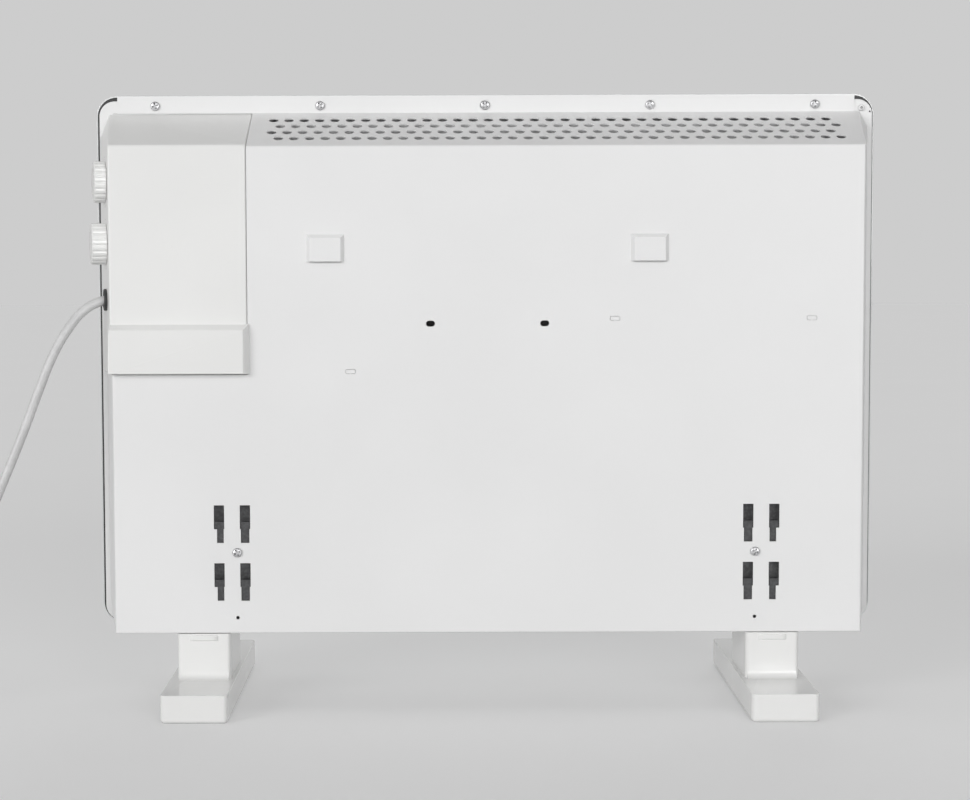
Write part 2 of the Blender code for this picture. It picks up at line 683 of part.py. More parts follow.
def bump_solid(inset, base_y):
    """The raised pad along the box's lower end."""
    top, bottom = BUMP_TOP_Z - inset, BOX_BOTTOM + inset
    inner = BOX_INNER_X + inset
    outer = BOX_OUTER_X - inset
    rise_y = BOX_BACK + BUMP_RISE - inset
    wide = inner - (0 if inset else BUMP_LIP)
    base = [(wide, base_y, top), (wide, base_y, bottom), (outer, base_y, top), (outer, base_y, bottom)]
    narrow = inner + BUMP_SIDE - BUMP_LIP
    proud = [(narrow, rise_y, top - BUMP_CHAMFER), (narrow, rise_y, bottom),
             (outer, rise_y, top - BUMP_CHAMFER), (outer, rise_y, bottom)]
    return add_hull(bmesh.new(), base + proud)


def control_wall(z):
    """The point of the box's slanted outer wall where a control at a height sits."""
    y = REAR_Y - CONTROL_DEPTH
    return Vector((BOX_OUTER_X + (BOX_BACK - y) * math.tan(WALL_TILT), y, z))


def wall_turn():
    """Turns Z to the outward normal of the slanted wall."""
    return Matrix.Rotation(WALL_TILT, 4, "Z") @ Matrix.Rotation(math.pi / 2, 4, "Y")


def build_control_box(finishes, anchors):
    """The moulded cover over the controls."""
    shell = add_hull(bmesh.new(), box_section(BOX_BACK, 0) + box_section(CASING_FRONT, 0))
    box = piece("control_box", shell, finishes["white_plastic"])
    bevel(box, BOX_EDGE, segments=2, angle=20)
    change(box, "bump", bump_solid(0, BOX_BACK - GAP), "UNION")
    room = box_section(BOX_BACK - BOX_WALL, BOX_WALL) + box_section(CASING_FRONT - BITE, BOX_WALL)
    inner = add_hull(bmesh.new(), room)
    change(box, "inside", inner)
    change(box, "bump_inside", bump_solid(BOX_WALL, BOX_BACK - BOX_WALL - BITE))
    for name, radius in (("thermostat", SHAFT_RADIUS + GAP * 2), ("selector", SHAFT_RADIUS + GAP * 2),
                         ("gland", GLAND_NECK + GAP)):
        hole = prism(circle(radius, 16), "Z", -BOX_WALL - BITE * 2, BITE * 2)
        change(box, f"{name}_hole", hole, parent=anchors[name])
    mark_x, mark_z = GATE_MARK
    half = GATE_MARK_SIZE / 2
    mark = rectangle(mark_x - half, mark_x + half, mark_z - half, mark_z + half)
    change(box, "gate_mark", prism(mark, "Y", BOX_BACK - GATE_MARK_DEPTH, BOX_BACK + BITE))
    wire = prism(circle(WIRE_HOLE / 2, 10, WIRE_HOLE_AT), "X",
                 BOX_INNER_X - BITE, BOX_INNER_X + BOX_WALL + BITE)
    change(box, "wire_hole", wire)


# ---- knobs, switch and thermostat ----------------------------------------------------------------

def knob_outline(radius):
    """A circle with a groove between each pair of ribs."""
    points = []
    for flute in range(KNOB_FLUTES):
        for share, depth in ((0.0, 0), (0.5, 0), (0.75, KNOB_FLUTE_DEPTH)):
            angle = 2 * math.pi * (flute + share) / KNOB_FLUTES
            points.append(((radius - depth) * math.cos(angle), (radius - depth) * math.sin(angle)))
    return points


def knob_shape(height):
    """A ribbed knob with a rounded rim, standing on z = KNOB_STANDOFF."""
    bm = bmesh.new()
    face = bm.faces.new([bm.verts.new((x, y, KNOB_STANDOFF)) for x, y in knob_outline(KNOB_RADIUS)])
    for step, (taken_in, z) in enumerate(((0, height - KNOB_ROUNDING),
                                          (KNOB_ROUNDING * 0.3, height - KNOB_ROUNDING * 0.3),
                                          (KNOB_ROUNDING, height))):
        result = bmesh.ops.extrude_face_region(bm, geom=[face])
        top = [v for v in result["geom"] if isinstance(v, bmesh.types.BMVert)]
        if step:
            bm.faces.remove(face)
        face = next(f for f in result["geom"] if isinstance(f, bmesh.types.BMFace))
        rim = KNOB_RADIUS - taken_in
        for vert in top:
            flat = Vector((vert.co.x, vert.co.y, 0))
            vert.co = flat * (rim / KNOB_RADIUS if step else 1)
            if step == 2:
                vert.co = flat.normalized() * (KNOB_RADIUS - KNOB_ROUNDING)
            vert.co.z = z
    return bm


def build_control(name, height, body, finishes, parent):
    """A knob, the shaft that it is pressed on, and the switch or thermostat that the shaft enters."""
    knob = piece(f"{name}_knob", knob_shape(height), finishes["white_plastic"], parent, smooth=30)
    bore_top = KNOB_STANDOFF + KNOB_BORE_DEPTH
    bore = prism(circle(SHAFT_RADIUS + GAP, 12), "Z", KNOB_STANDOFF - BITE, bore_top)
    change(knob, "bore", bore, parent=parent)
    shaft_low = -BOX_WALL - GAP - SHAFT_REACH
    piece(f"{name}_shaft", prism(circle(SHAFT_RADIUS, 12), "Z", shaft_low, bore_top - GAP),
          finishes["zinc"], parent, smooth=40)
    made = piece(body, control_body(name), finishes["bakelite"], parent, smooth=40)
    socket = prism(circle(SHAFT_RADIUS + GAP, 12), "Z", shaft_low - GAP, 0)
    change(made, "socket", socket, parent=parent)


def control_body(name):
    """The block behind the wall that a knob's shaft turns in."""
    top = -BOX_WALL - GAP
    if name == "selector":
        return prism(circle(SELECTOR_RADIUS, 16), "Z", top - SELECTOR_DEPTH, top)
    width, height, depth = THERMOSTAT_BODY
    return prism(rounded_rectangle(width, height, THERMOSTAT_CORNER, steps=2), "Z", top - depth, top)


# ---- gland, cord, coil and plug ------------------------------------------------------------------

def build_gland(finishes, parent):
    """The strain relief bush: a collar outside the wall, a neck through it and a tapered tail."""
    inside = -BOX_WALL - GAP
    recess = CORD_DIAMETER / 2 + GLAND_ROOM
    edge = GLAND_EDGE
    profile = [(0, -GLAND_ROOM), (recess, -GLAND_ROOM), (recess, GLAND_PROUD),
               (GLAND_RADIUS - edge, GLAND_PROUD), (GLAND_RADIUS, GLAND_PROUD - edge), (GLAND_RADIUS, GAP),
               (GLAND_NECK, GAP), (GLAND_NECK, inside), (GLAND_NECK + edge, inside - edge),
               (recess + edge, inside - GLAND_TAIL), (0, inside - GLAND_TAIL)]
    piece("cable_gland", turned(profile, 16), finishes["rubber"], parent, smooth=35)


def catmull(points, steps):
    """Points along a smooth curve through the given points."""
    made = []
    ends = [points[0] * 2 - points[1], *points, points[-1] * 2 - points[-2]]
    for before, start, end, after in zip(ends, ends[1:], ends[2:], ends[3:]):
        for step in range(steps):
            t = step / steps
            made.append(0.5 * (2 * start + (end - before) * t
                               + (2 * before - 5 * start + 4 * end - after) * t * t
                               + (3 * start - before - 3 * end + after) * t ** 3))
    return [*made, points[-1]]


def tube(name, points, radius, finish_with, sides=CORD_SIDES):
    """A round cord through some points, with closed ends."""
    data = bpy.data.curves.new(name, "CURVE")
    data.dimensions = "3D"
    data.bevel_depth = radius
    data.bevel_resolution = sides
    data.use_fill_caps = True
    spline = data.splines.new("POLY")
    spline.points.add(len(points) - 1)
    for spot, point in zip(spline.points, points):
        spot.co = (*point, 1)
    made = bpy.data.objects.new(name, data)
    bpy.context.collection.objects.link(made)
    data.materials.append(finish_with)


def build_cord(finishes, gland):
    """The mains lead from the gland to the floor, its coil and its plug."""
    start = gland.matrix_world @ Vector((0, 0, GAP * 3))
    radius, lay = CORD_DIAMETER / 2, CORD_DIAMETER + COIL_SLACK
    turn_y, low_z, high_z = COIL_Y + COIL_RADIUS + lay, lay / 2, lay * 1.5
    end = Vector((COIL_X - COIL_TAIL - GAP, turn_y, low_z))
    route = [start, *(Vector(p) for p in CORD_ROUTE), end]
    tube("mains_cord", catmull(route, 2), radius, finishes["cord"])

    low, high, corner = COIL_RADIUS - lay - radius, COIL_RADIUS + lay + radius, radius * 0.8
    profile = [(low, corner), (low + corner, 0), (high - corner, 0), (high, corner),
               (high, 2 * lay - corner), (high - corner, 2 * lay), (low + corner, 2 * lay),
               (low, 2 * lay - corner)]
    centre = anchor("coil_centre", (COIL_X, COIL_Y, 0))
    coil = piece("cord_coil", turned(profile, 24), finishes["cord"], centre, smooth=35)
    tails = bmesh.new()
    add_prism(tails, circle(radius, 12, (turn_y - COIL_Y, low_z)), "X", -COIL_TAIL, -COIL_TAIL * 0.1)
    add_prism(tails, circle(radius, 12, (turn_y - COIL_Y, high_z)), "X", COIL_TAIL * 0.1, COIL_TAIL)
    change(coil, "tails", tails, "UNION", parent=centre)

    tail, face, rim = radius + PLUG_SLEEVE, PLUG_TAIL + PLUG_LENGTH, PLUG_RIM
    tilt = math.asin((PLUG_RADIUS - high_z) / (face - rim))
    seat = anchor("plug_tail", (COIL_X + COIL_TAIL + GAP * 3, turn_y, high_z),
                  Matrix.Rotation(math.pi / 2 - tilt, 4, "Y"))
    bpy.context.view_layer.update()
    profile = [(0, 0), (tail, 0), (tail + PLUG_SLEEVE, PLUG_TAIL),
               (PLUG_RADIUS * 0.72, PLUG_TAIL + PLUG_LENGTH * 0.12),
               (PLUG_RADIUS * 0.9, PLUG_TAIL + PLUG_LENGTH * 0.45), (PLUG_RADIUS, face - rim),
               (PLUG_RADIUS, face - PLUG_EDGE), (PLUG_RADIUS - PLUG_EDGE, face), (0, face)]
    piece("plug_body", turned(profile, 20), finishes["rubber"], seat, smooth=35)
    for i, side in enumerate((-1, 1)):
        pin_seat = seat.matrix_world @ Vector((0, side * PIN_SPACING / 2, face + GAP))
        pin = anchor(f"pin_{i + 1}", pin_seat, seat.matrix_world.to_3x3())
        profile = [(0, 0), (PIN_RADIUS, 0), (PIN_RADIUS, PIN_LENGTH - PIN_RADIUS),
                   (PIN_RADIUS * 0.7, PIN_LENGTH - PIN_RADIUS * 0.3), (0, PIN_LENGTH)]
        piece(f"plug_pin_{i + 1}", turned(profile, 12), finishes["zinc"], pin, smooth=35)


# ---- feet ----------------------------------------------------------------------------------------

def neck_middle():
    """How far the middle of a foot's neck lies from the middle of the heater."""
    return FOOT_X + (NECK_INNER_INSET - NECK_OUTER_INSET) / 2


def neck_width():
    """The width of a foot's neck."""
    return FOOT_WIDTH - NECK_OUTER_INSET - NECK_INNER_INSET


def foot_base(x):
    """A foot's bar with round ends and a well rounded lower edge."""
    levels = [(FOOT_LOW_EDGE * (1 - math.sin(turn)), FOOT_LOW_EDGE * (1 - math.cos(turn)))
              for turn in (0, math.pi / 6, math.pi / 3, math.pi / 2)]
    levels += [(0, FOOT_HEIGHT - FOOT_TOP_EDGE), (FOOT_TOP_EDGE, FOOT_HEIGHT)]
    points = []
    for inset, z in levels:
        corner = max(FOOT_ROUNDING - inset, FOOT_ROUNDING / 4)
        width, length = FOOT_WIDTH - 2 * inset, FOOT_LENGTH - 2 * inset
        outline = rounded_rectangle(width, length, corner, steps=3, centre=(x, 0))
        points += [(a, b, z) for a, b in outline]
    return add_hull(bmesh.new(), points)


def build_feet(finishes):
    """The two moulded feet, open underneath, each with a neck up to the casing's floor."""
    back_y = REAR_Y - NECK_BACK_INSET
    top = CASING_BOTTOM - GAP
    for side, sx in (("left", 1), ("right", -1)):
        foot = piece(f"foot_{side}", foot_base(sx * FOOT_X), finishes["white_plastic"], smooth=30)
        middle, width = sx * neck_middle(), neck_width()
        depth, centre_y = back_y - NECK_FRONT_Y, (back_y + NECK_FRONT_Y) / 2
        neck = rounded_rectangle(width, depth, NECK_CORNER, steps=3, centre=(middle, centre_y))
        change(foot, "neck", prism(neck, "Z", FOOT_HEIGHT - BITE, top), "UNION")
        fillet = [(back_y - BITE, FOOT_HEIGHT - BITE), (back_y + NECK_FILLET, FOOT_HEIGHT - BITE)]
        for step in range(6):
            angle = math.pi / 2 * step / 5
            fillet.append((back_y + NECK_FILLET * (1 - math.sin(angle)),
                           FOOT_HEIGHT + NECK_FILLET * (1 - math.cos(angle))))
        fillet.append((back_y - BITE, FOOT_HEIGHT + NECK_FILLET))
        half = width / 2 - NECK_CORNER * 0.5
        change(foot, "fillet", prism(fillet, "X", middle - half, middle + half), "UNION")
        tab_width, tab_height, tab_rise = NECK_TAB
        tab_top = top - NECK_TAB_DROP
        tab = rectangle(middle - tab_width / 2, middle + tab_width / 2, tab_top - tab_height, tab_top)
        change(foot, "tab", prism(tab, "Y", back_y - tab_rise, back_y + tab_rise), "UNION")
        arch_end = FOOT_LENGTH / 2 - FOOT_PAD_LENGTH
        arch = rectangle(-arch_end, arch_end, -BITE, FOOT_ARCH)
        change(foot, "arch", prism(arch, "X", sx * FOOT_X - FOOT_WIDTH, sx * FOOT_X + FOOT_WIDTH))
        hollow = bmesh.new()
        inner = FOOT_WIDTH / 2 - FOOT_WALL
        for low, high in ((-arch_end, NECK_FRONT_Y - FOOT_WALL / 2), (back_y + FOOT_WALL / 2, arch_end)):
            room = rectangle(sx * FOOT_X - inner, sx * FOOT_X + inner, low, high)
            add_prism(hollow, room, "Z", -BITE, FOOT_HEIGHT - FOOT_WALL)
        neck_inner = width / 2 - FOOT_WALL
        room = rectangle(middle - neck_inner, middle + neck_inner, NECK_FRONT_Y + FOOT_WALL,
                         back_y - FOOT_WALL)
        add_prism(hollow, room, "Z", -BITE, top - FOOT_WALL)
        change(foot, "hollow", hollow)
        holes = bmesh.new()
        for name, x, y in foot_screw_places():
            if side in name:
                add_prism(holes, circle(FOOT_SCREW_SHANK / 2 + GAP, 8, (x, y)), "Z",
                          top - FOOT_WALL - BITE, top + BITE)
        change(foot, "screw_holes", holes)


# ---- inside: shield, partition, elements, hook plates --------------------------------------------

def build_shield(finishes):
    """The sheet that keeps the element's heat off the glass, and the wall beside the control box."""
    half = REAR_HALF_WIDTH + SIDE_FLARE - SHIELD_MARGIN
    low, high = CASING_BOTTOM + SHIELD_MARGIN, SLOPE_TOP_Z - SHIELD_TOP_ROOM
    outline = rounded_rectangle(2 * half, high - low, SHIELD_CORNER, steps=2, centre=(0, (high + low) / 2))
    shield = prism(outline, "Y", FRAME_BACK + GAP, SHIELD_BACK)
    made = piece("heat_shield", shield, finishes["bare_steel"])
    clear_x = BOX_INNER_X - GAP
    notch = rectangle(clear_x, half + BITE, BOX_BOTTOM - GAP, high + BITE)
    change(made, "box_notch", prism(notch, "Y", FRAME_BACK - BITE, SHIELD_BACK + BITE))

    wall_x = BOX_INNER_X - PARTITION_GAP
    far_x = wall_x - PARTITION_THICKNESS
    outline = rectangle(SHIELD_BACK + GAP, REAR_INSIDE - GAP, BOX_BOTTOM - SHIELD_MARGIN,
                        CREASE_Z - PARTITION_TOP_ROOM)
    wall = piece("partition", prism(outline, "X", far_x, wall_x), finishes["bare_steel"])
    hole = prism(circle(WIRE_HOLE / 2, 10, WIRE_HOLE_AT), "X", far_x - BITE, wall_x + BITE)
    change(wall, "wire_hole", hole)


def element_shape():
    """An extruded element: a round core with four crossed fins, notched along its length."""
    reach, half, core = ELEMENT_FIN, ELEMENT_FIN_THICKNESS / 2, ELEMENT_CORE
    points = []
    for quarter in range(4):
        turn = math.pi / 4 + quarter * math.pi / 2
        for across, out in ((-half, core), (-half, reach), (half, reach), (half, core)):
            points.append((out * math.cos(turn) - across * math.sin(turn),
                           out * math.sin(turn) + across * math.cos(turn)))
    return prism([(y, z) for y, z in points], "X", *ELEMENT_END_X)


def build_elements(finishes):
    """Two finned elements held between end brackets that stand on the shield."""
    for name, z in zip(("element_lower", "element_upper"), ELEMENT_Z):
        seat = anchor(f"{name}_axis", (0, ELEMENT_Y, z))
        made = piece(name, element_shape(), finishes["aluminium"], seat)
        notches = bmesh.new()
        pitch = ELEMENT_LENGTH / (ELEMENT_NOTCHES + 1)
        for i in range(ELEMENT_NOTCHES):
            x = ELEMENT_END_X[0] + (i + 1) * pitch
            for turn in range(4):
                angle = math.pi / 4 + turn * math.pi / 2
                reach = ELEMENT_FIN_THICKNESS
                outline = rectangle(-reach, reach, ELEMENT_CORE + ELEMENT_FIN_THICKNESS, ELEMENT_FIN + BITE)
                crossed = [(out * math.cos(angle) - across * math.sin(angle),
                            out * math.sin(angle) + across * math.cos(angle)) for across, out in outline]
                add_prism(notches, crossed, "X", x - ELEMENT_NOTCH / 2, x + ELEMENT_NOTCH / 2)
        change(made, "notches", notches, parent=seat)
        studs = prism(circle(ELEMENT_CORE * 0.6, 10), "X", ELEMENT_END_X[0] - ELEMENT_STUD,
                      ELEMENT_END_X[1] + ELEMENT_STUD)
        change(made, "studs", studs, "UNION", parent=seat)
    half = ELEMENT_FIN + BRACKET_MARGIN
    low, high = ELEMENT_Z[0] - half, ELEMENT_Z[1] + half
    for side, x, inward in (("right", ELEMENT_END_X[0] - BRACKET_MARGIN, -1),
                            ("left", ELEMENT_END_X[1] + BRACKET_MARGIN, 1)):
        out_x, web_x = x + inward * BRACKET_FOOT, x + inward * BRACKET_THICKNESS
        web = rectangle(min(x, web_x), max(x, web_x), SHIELD_BACK + GAP, ELEMENT_Y + BRACKET_FOOT)
        made = piece(f"element_bracket_{side}", prism(web, "Z", low, high), finishes["bare_steel"])
        foot_y = SHIELD_BACK + GAP
        foot = rectangle(min(x, out_x), max(x, out_x), foot_y, foot_y + BRACKET_THICKNESS)
        change(made, "foot", prism(foot, "Z", low, high), "UNION")
        holes = bmesh.new()
        for z in ELEMENT_Z:
            add_prism(holes, circle(ELEMENT_CORE * 0.6 + GAP, 12, (ELEMENT_Y, z)), "X",
                      min(x, out_x) - BITE, max(x, out_x) + BITE)
        change(made, "stud_holes", holes)


def build_hook_plates(finishes):
    """The stepped plates behind the T-slots that the wall hooks bear on."""
    top = SLOT_TOP_Z + HOOK_PLATE_MARGIN
    bottom = SLOT_TOP_Z - SLOT_ROW_PITCH - SLOT_WIDE_HEIGHT - SLOT_NARROW_HEIGHT - HOOK_PLATE_MARGIN
    rear, sheet, depth = REAR_INSIDE - GAP, HOOK_PLATE_THICKNESS, HOOK_PLATE_DEPTH
    path = [(rear, top), (rear - depth, top)]
    for row in range(2):
        step_z = SLOT_TOP_Z - row * SLOT_ROW_PITCH - SLOT_WIDE_HEIGHT * 0.65
        path += [(rear - depth, step_z), (rear - depth - HOOK_PLATE_STEP, step_z - HOOK_PLATE_STEP)]
        if row == 0:
            back_z = step_z - SLOT_ROW_PITCH * 0.55
            path += [(rear - depth - HOOK_PLATE_STEP, back_z), (rear - depth, back_z - HOOK_PLATE_STEP)]
    path += [(rear - depth - HOOK_PLATE_STEP, bottom), (rear, bottom)]
    outline = path + offset_path(path, sheet)[::-1]
    for side, x in SLOT_GROUPS.items():
        half = HOOK_PLATE_WIDTH / 2
        made = piece(f"hook_plate_{side}", prism(outline, "X", x - half, x + half), finishes["dark_steel"])
        hole = prism(circle(SCREW_SHANK / 2 + GAP, 8, (x + HOOK_SCREW_SHIFT[side], HOOK_SCREW_Z)), "Y",
                     rear - depth - HOOK_PLATE_STEP - BITE * 2, rear + BITE)
        change(made, "screw_hole", hole)


def offset_path(path, distance):
    """An open path moved sideways, so that a folded sheet has the same thickness all along."""
    moved = []
    for i, (x, y) in enumerate(path):
        before = Vector(path[i]) - Vector(path[i - 1]) if i else Vector(path[1]) - Vector(path[0])
        after = Vector(path[i + 1]) - Vector(path[i]) if i + 1 < len(path) else before
        one, two = before.normalized(), after.normalized()
        normal = Vector((-one.y - two.y, one.x + two.x)).normalized()
        reach = distance / max(0.3, normal.dot(Vector((-one.y, one.x))))
        moved.append((x + normal.x * reach, y + normal.y * reach))
    return moved


# ---- turbo fan -----------------------------------------------------------------------------------

def build_fan(finishes):
    """A cross-flow fan: a scroll housing on the casing's floor, a bladed rotor and its motor."""
    half = FAN_LENGTH / 2
    inner_x = (FAN_X - half - FAN_END_ROOM, FAN_X + half + FAN_END_ROOM)
    reach = FAN_RADIUS + FAN_SHELL_GAP
    base_z = FLOOR_INSIDE + GAP
    top = FAN_Z + reach + FAN_PLATE
    rear_y = FAN_Y + reach
    block = rectangle(FAN_Y - reach - FAN_PLATE, rear_y + FAN_PLATE, base_z, top)
    housing = piece("fan_housing", prism(block, "X", inner_x[0] - FAN_PLATE, inner_x[1] + FAN_PLATE),
                    finishes["zinc"])
    scroll = [(FAN_Y - reach, FAN_Z), *((FAN_Y + reach * math.cos(a), FAN_Z + reach * math.sin(a))
                                        for a in (math.pi - step * math.pi / 10 for step in range(1, 10))),
              (rear_y, FAN_Z), (rear_y, base_z - BITE), (FAN_Y - reach, base_z - BITE)]
    change(housing, "scroll", prism(scroll, "X", *inner_x))
    outlet = rectangle(FAN_Y - FAN_OUTLET_FRONT, FAN_Y + FAN_OUTLET_BACK, FAN_Z + FAN_RADIUS, top + BITE)
    ends = inner_x[0] + FAN_OUTLET_MARGIN, inner_x[1] - FAN_OUTLET_MARGIN
    change(housing, "outlet", prism(outlet, "X", *ends))
    bores = prism(circle(FAN_SHAFT + GAP, 12, (FAN_Y, FAN_Z)), "X", inner_x[0] - FAN_PLATE - BITE,
                  inner_x[1] + FAN_PLATE + BITE)
    change(housing, "bores", bores)

    axis = anchor("fan_axis", (FAN_X, FAN_Y, FAN_Z))
    rotor = piece("fan_rotor", prism(circle(FAN_SHAFT, 12), "X", -half - FAN_END_ROOM - FAN_PLATE,
                                     half + FAN_END_ROOM + FAN_PLATE + MOTOR_SIZE[0] / 2),
                  finishes["black_plastic"], axis)
    discs = bmesh.new()
    for x in (-half, half - FAN_DISC):
        add_prism(discs, circle(FAN_RADIUS, 20), "X", x, x + FAN_DISC)
    change(rotor, "discs", discs, "UNION", parent=axis)
    blades = bmesh.new()
    for i in range(FAN_BLADES):
        angle = 2 * math.pi * i / FAN_BLADES
        outline = []
        for across, out in ((0, 0.78), (FAN_BLADE * 2, 0.97), (FAN_BLADE * 3, 0.97), (FAN_BLADE, 0.78)):
            r = out * FAN_RADIUS
            outline.append((r * math.cos(angle) - across * math.sin(angle),
                            r * math.sin(angle) + across * math.cos(angle)))
        add_prism(blades, outline, "X", FAN_DISC / 2 - half, half - FAN_DISC / 2)
    change(rotor, "blades", blades, "UNION", parent=axis)

    length, depth, height = MOTOR_SIZE
    motor_x = inner_x[1] + FAN_PLATE + GAP
    stack = rounded_rectangle(depth, height, MOTOR_CORNER, steps=2, centre=(FAN_Y, FAN_Z))
    motor = piece("fan_motor", prism(stack, "X", motor_x, motor_x + length), finishes["dark_steel"])
    bore = prism(circle(FAN_SHAFT + GAP, 12, (FAN_Y, FAN_Z)), "X", motor_x - BITE,
                 motor_x + length / 2 + FAN_PLATE + GAP)
    change(motor, "bore", bore)


# ---- small parts of the circuit ------------------------------------------------------------------

def build_circuit(finishes, anchors):
    """The cut-out on the shield, the terminal block in the control box and the wires between."""
    cut_x, cut_z = CUTOUT_AT
    seat = anchor("cutout_seat", (cut_x, SHIELD_BACK + GAP, cut_z), Matrix.Rotation(-math.pi / 2, 4, "X"))
    rim, half = CUTOUT_RADIUS * 0.7, CUTOUT_DEPTH / 2
    profile = [(0, 0), (CUTOUT_RADIUS, 0), (CUTOUT_RADIUS, half), (rim, half * 1.1), (rim, CUTOUT_DEPTH),
               (0, CUTOUT_DEPTH)]
    piece("thermal_cutout", turned(profile, 14), finishes["bakelite"], seat, smooth=35)

    length, width, height = TERMINAL_SIZE
    block_x = BOX_INNER_X + BOX_WALL + GAP
    block = rectangle(block_x, block_x + length, TERMINAL_Y, TERMINAL_Y + width)
    piece("terminal_block", prism(block, "Z", TERMINAL_Z, TERMINAL_Z + height), finishes["bakelite"])
    build_wires(finishes, anchors, block_x)


def behind(control, up, out):
    """A point on a control's axis, or above it, and the way that a wire leaves it."""
    turn = control.matrix_world
    return turn @ Vector((-up, 0, out)), turn.to_3x3() @ Vector((0, 0, -1))


def build_wires(finishes, anchors, block_x):
    """The wires between the cord, the terminal block, the switch, the thermostat and the elements."""
    face_x = block_x + TERMINAL_SIZE[0] + GAP
    hole_y, hole_z = WIRE_HOLE_AT
    inside = -BOX_WALL - GAP
    switch, stat = inside - SELECTOR_DEPTH - GAP, inside - THERMOSTAT_BODY[2] - GAP
    partition_x = BOX_INNER_X - PARTITION_GAP - PARTITION_THICKNESS
    stud_end = ELEMENT_END_X[1] + ELEMENT_STUD + WIRE_RADIUS + GAP
    away, down, up = Vector((1, 0, 0)), Vector((0, 0, -1)), Vector((0, 0, 1))
    lead_end, switch_end = (Vector((face_x, TERMINAL_Y + y, TERMINAL_Z + z))
                            for y, z in (WIRE_LEAD_END, WIRE_SWITCH_END))
    block_end = Vector((block_x + TERMINAL_SIZE[0] / 2, hole_y + WIRE_HOLE, TERMINAL_Z - GAP))
    element_end = Vector((stud_end, ELEMENT_Y, ELEMENT_Z[1] - ELEMENT_CORE / 2))
    spread = WIRE_RADIUS * 3
    wires = {
        "wire_lead": (behind(anchors["gland"], 0, inside - GLAND_TAIL - GAP), (lead_end, away)),
        "wire_switch": ((switch_end, away), behind(anchors["selector"], -spread, switch)),
        "wire_thermostat": (behind(anchors["selector"], spread * 2, switch),
                            behind(anchors["thermostat"], -spread, stat)),
        "wire_element": ((block_end, down), (element_end, up)),
    }
    through = [Vector((block_x, hole_y, hole_z)), Vector((partition_x - WIRE_POST / 2, hole_y, hole_z))]
    for name, ((start, way), (end, back)) in wires.items():
        middle = [*through, end + back * WIRE_POST * 3] if name == "wire_element" else []
        post = WIRE_POST / 2 if middle else WIRE_POST
        points = [start, start + way * post / 3, start + way * post, *middle,
                  end + back * post, end + back * post / 3, end]
        tube(name, catmull(points, 2), WIRE_RADIUS, finishes["wire"], sides=1)


# ---- the whole heater ----------------------------------------------------------------------------

def main():
    """Clear the scene and build every piece."""
    for old in list(bpy.data.objects):
        bpy.data.objects.remove(old)
    finishes = {
        "glass": material("glass", (0.86, 0.87, 0.87), 0.08),
        "white_steel": material("white_steel", (0.80, 0.80, 0.80), 0.42),
        "white_plastic": material("white_plastic", (0.82, 0.82, 0.81), 0.35),
        "black_plastic": material("black_plastic", (0.05, 0.05, 0.05), 0.5),
        "rubber": material("rubber", (0.03, 0.03, 0.03), 0.6),
        "cord": material("cord", (0.62, 0.62, 0.62), 0.5),
        "zinc": material("zinc", (0.60, 0.60, 0.60), 0.35, 1.0),
        "bare_steel": material("bare_steel", (0.45, 0.45, 0.45), 0.4, 1.0),
        "dark_steel": material("dark_steel", (0.20, 0.20, 0.21), 0.5, 1.0),
        "aluminium": material("aluminium", (0.70, 0.70, 0.71), 0.4, 1.0),
        "bakelite": material("bakelite", (0.10, 0.08, 0.07), 0.5),
        "wire": material("wire", (0.70, 0.70, 0.68), 0.5),
    }
    heights = {"thermostat": THERMOSTAT_Z, "selector": SELECTOR_Z, "gland": GLAND_Z}
    anchors = {name: anchor(f"{name}_axis", control_wall(z), wall_turn()) for name, z in heights.items()}
    bpy.context.view_layer.update()
    build_front(finishes)
    build_casing(finishes)
    build_screws(finishes)
    build_control_box(finishes, anchors)
    for name, height, body in (("thermostat", THERMOSTAT_KNOB_HEIGHT, "thermostat_body"),
                               ("selector", SELECTOR_KNOB_HEIGHT, "selector_switch")):
        build_control(name, height, body, finishes, anchors[name])
    build_gland(finishes, anchors["gland"])
    build_cord(finishes, anchors["gland"])
    build_feet(finishes)
    build_shield(finishes)
    build_elements(finishes)
    build_hook_plates(finishes)
    build_fan(finishes)
    build_circuit(finishes, anchors)


main()
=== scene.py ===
"""A glass-fronted fan convector heater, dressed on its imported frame.

Every size is in metres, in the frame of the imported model: +Z up, the glass faces -Y, the folded
casing faces +Y and the control box is at +X. Each sub-assembly is a class that builds its meshes
and dresses them; main() builds them in order.
"""

import json
import logging
import math
from collections.abc import Callable, Iterable, Sequence
from dataclasses import dataclass, field
from enum import Enum

import bmesh
import bpy
from mathutils import Matrix, Vector


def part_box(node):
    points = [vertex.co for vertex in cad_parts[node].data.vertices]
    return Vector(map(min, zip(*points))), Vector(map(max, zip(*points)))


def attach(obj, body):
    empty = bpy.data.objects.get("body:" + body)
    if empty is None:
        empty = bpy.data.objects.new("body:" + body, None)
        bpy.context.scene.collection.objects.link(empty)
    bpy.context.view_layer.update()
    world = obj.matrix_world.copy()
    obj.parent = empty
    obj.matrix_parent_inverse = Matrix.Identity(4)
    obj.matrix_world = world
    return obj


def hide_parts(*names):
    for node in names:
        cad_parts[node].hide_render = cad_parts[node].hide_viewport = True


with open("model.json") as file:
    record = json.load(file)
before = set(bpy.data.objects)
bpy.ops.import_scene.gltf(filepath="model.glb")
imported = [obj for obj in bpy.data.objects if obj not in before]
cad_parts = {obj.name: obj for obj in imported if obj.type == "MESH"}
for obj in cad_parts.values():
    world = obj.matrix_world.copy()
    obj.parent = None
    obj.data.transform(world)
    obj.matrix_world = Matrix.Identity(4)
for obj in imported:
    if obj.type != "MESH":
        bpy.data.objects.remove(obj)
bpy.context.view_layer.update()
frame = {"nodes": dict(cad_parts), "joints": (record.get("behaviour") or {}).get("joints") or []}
log = logging.getLogger("heater")

Point = tuple[float, float]
Place = tuple[float, float, float]
Colour = tuple[float, float, float]

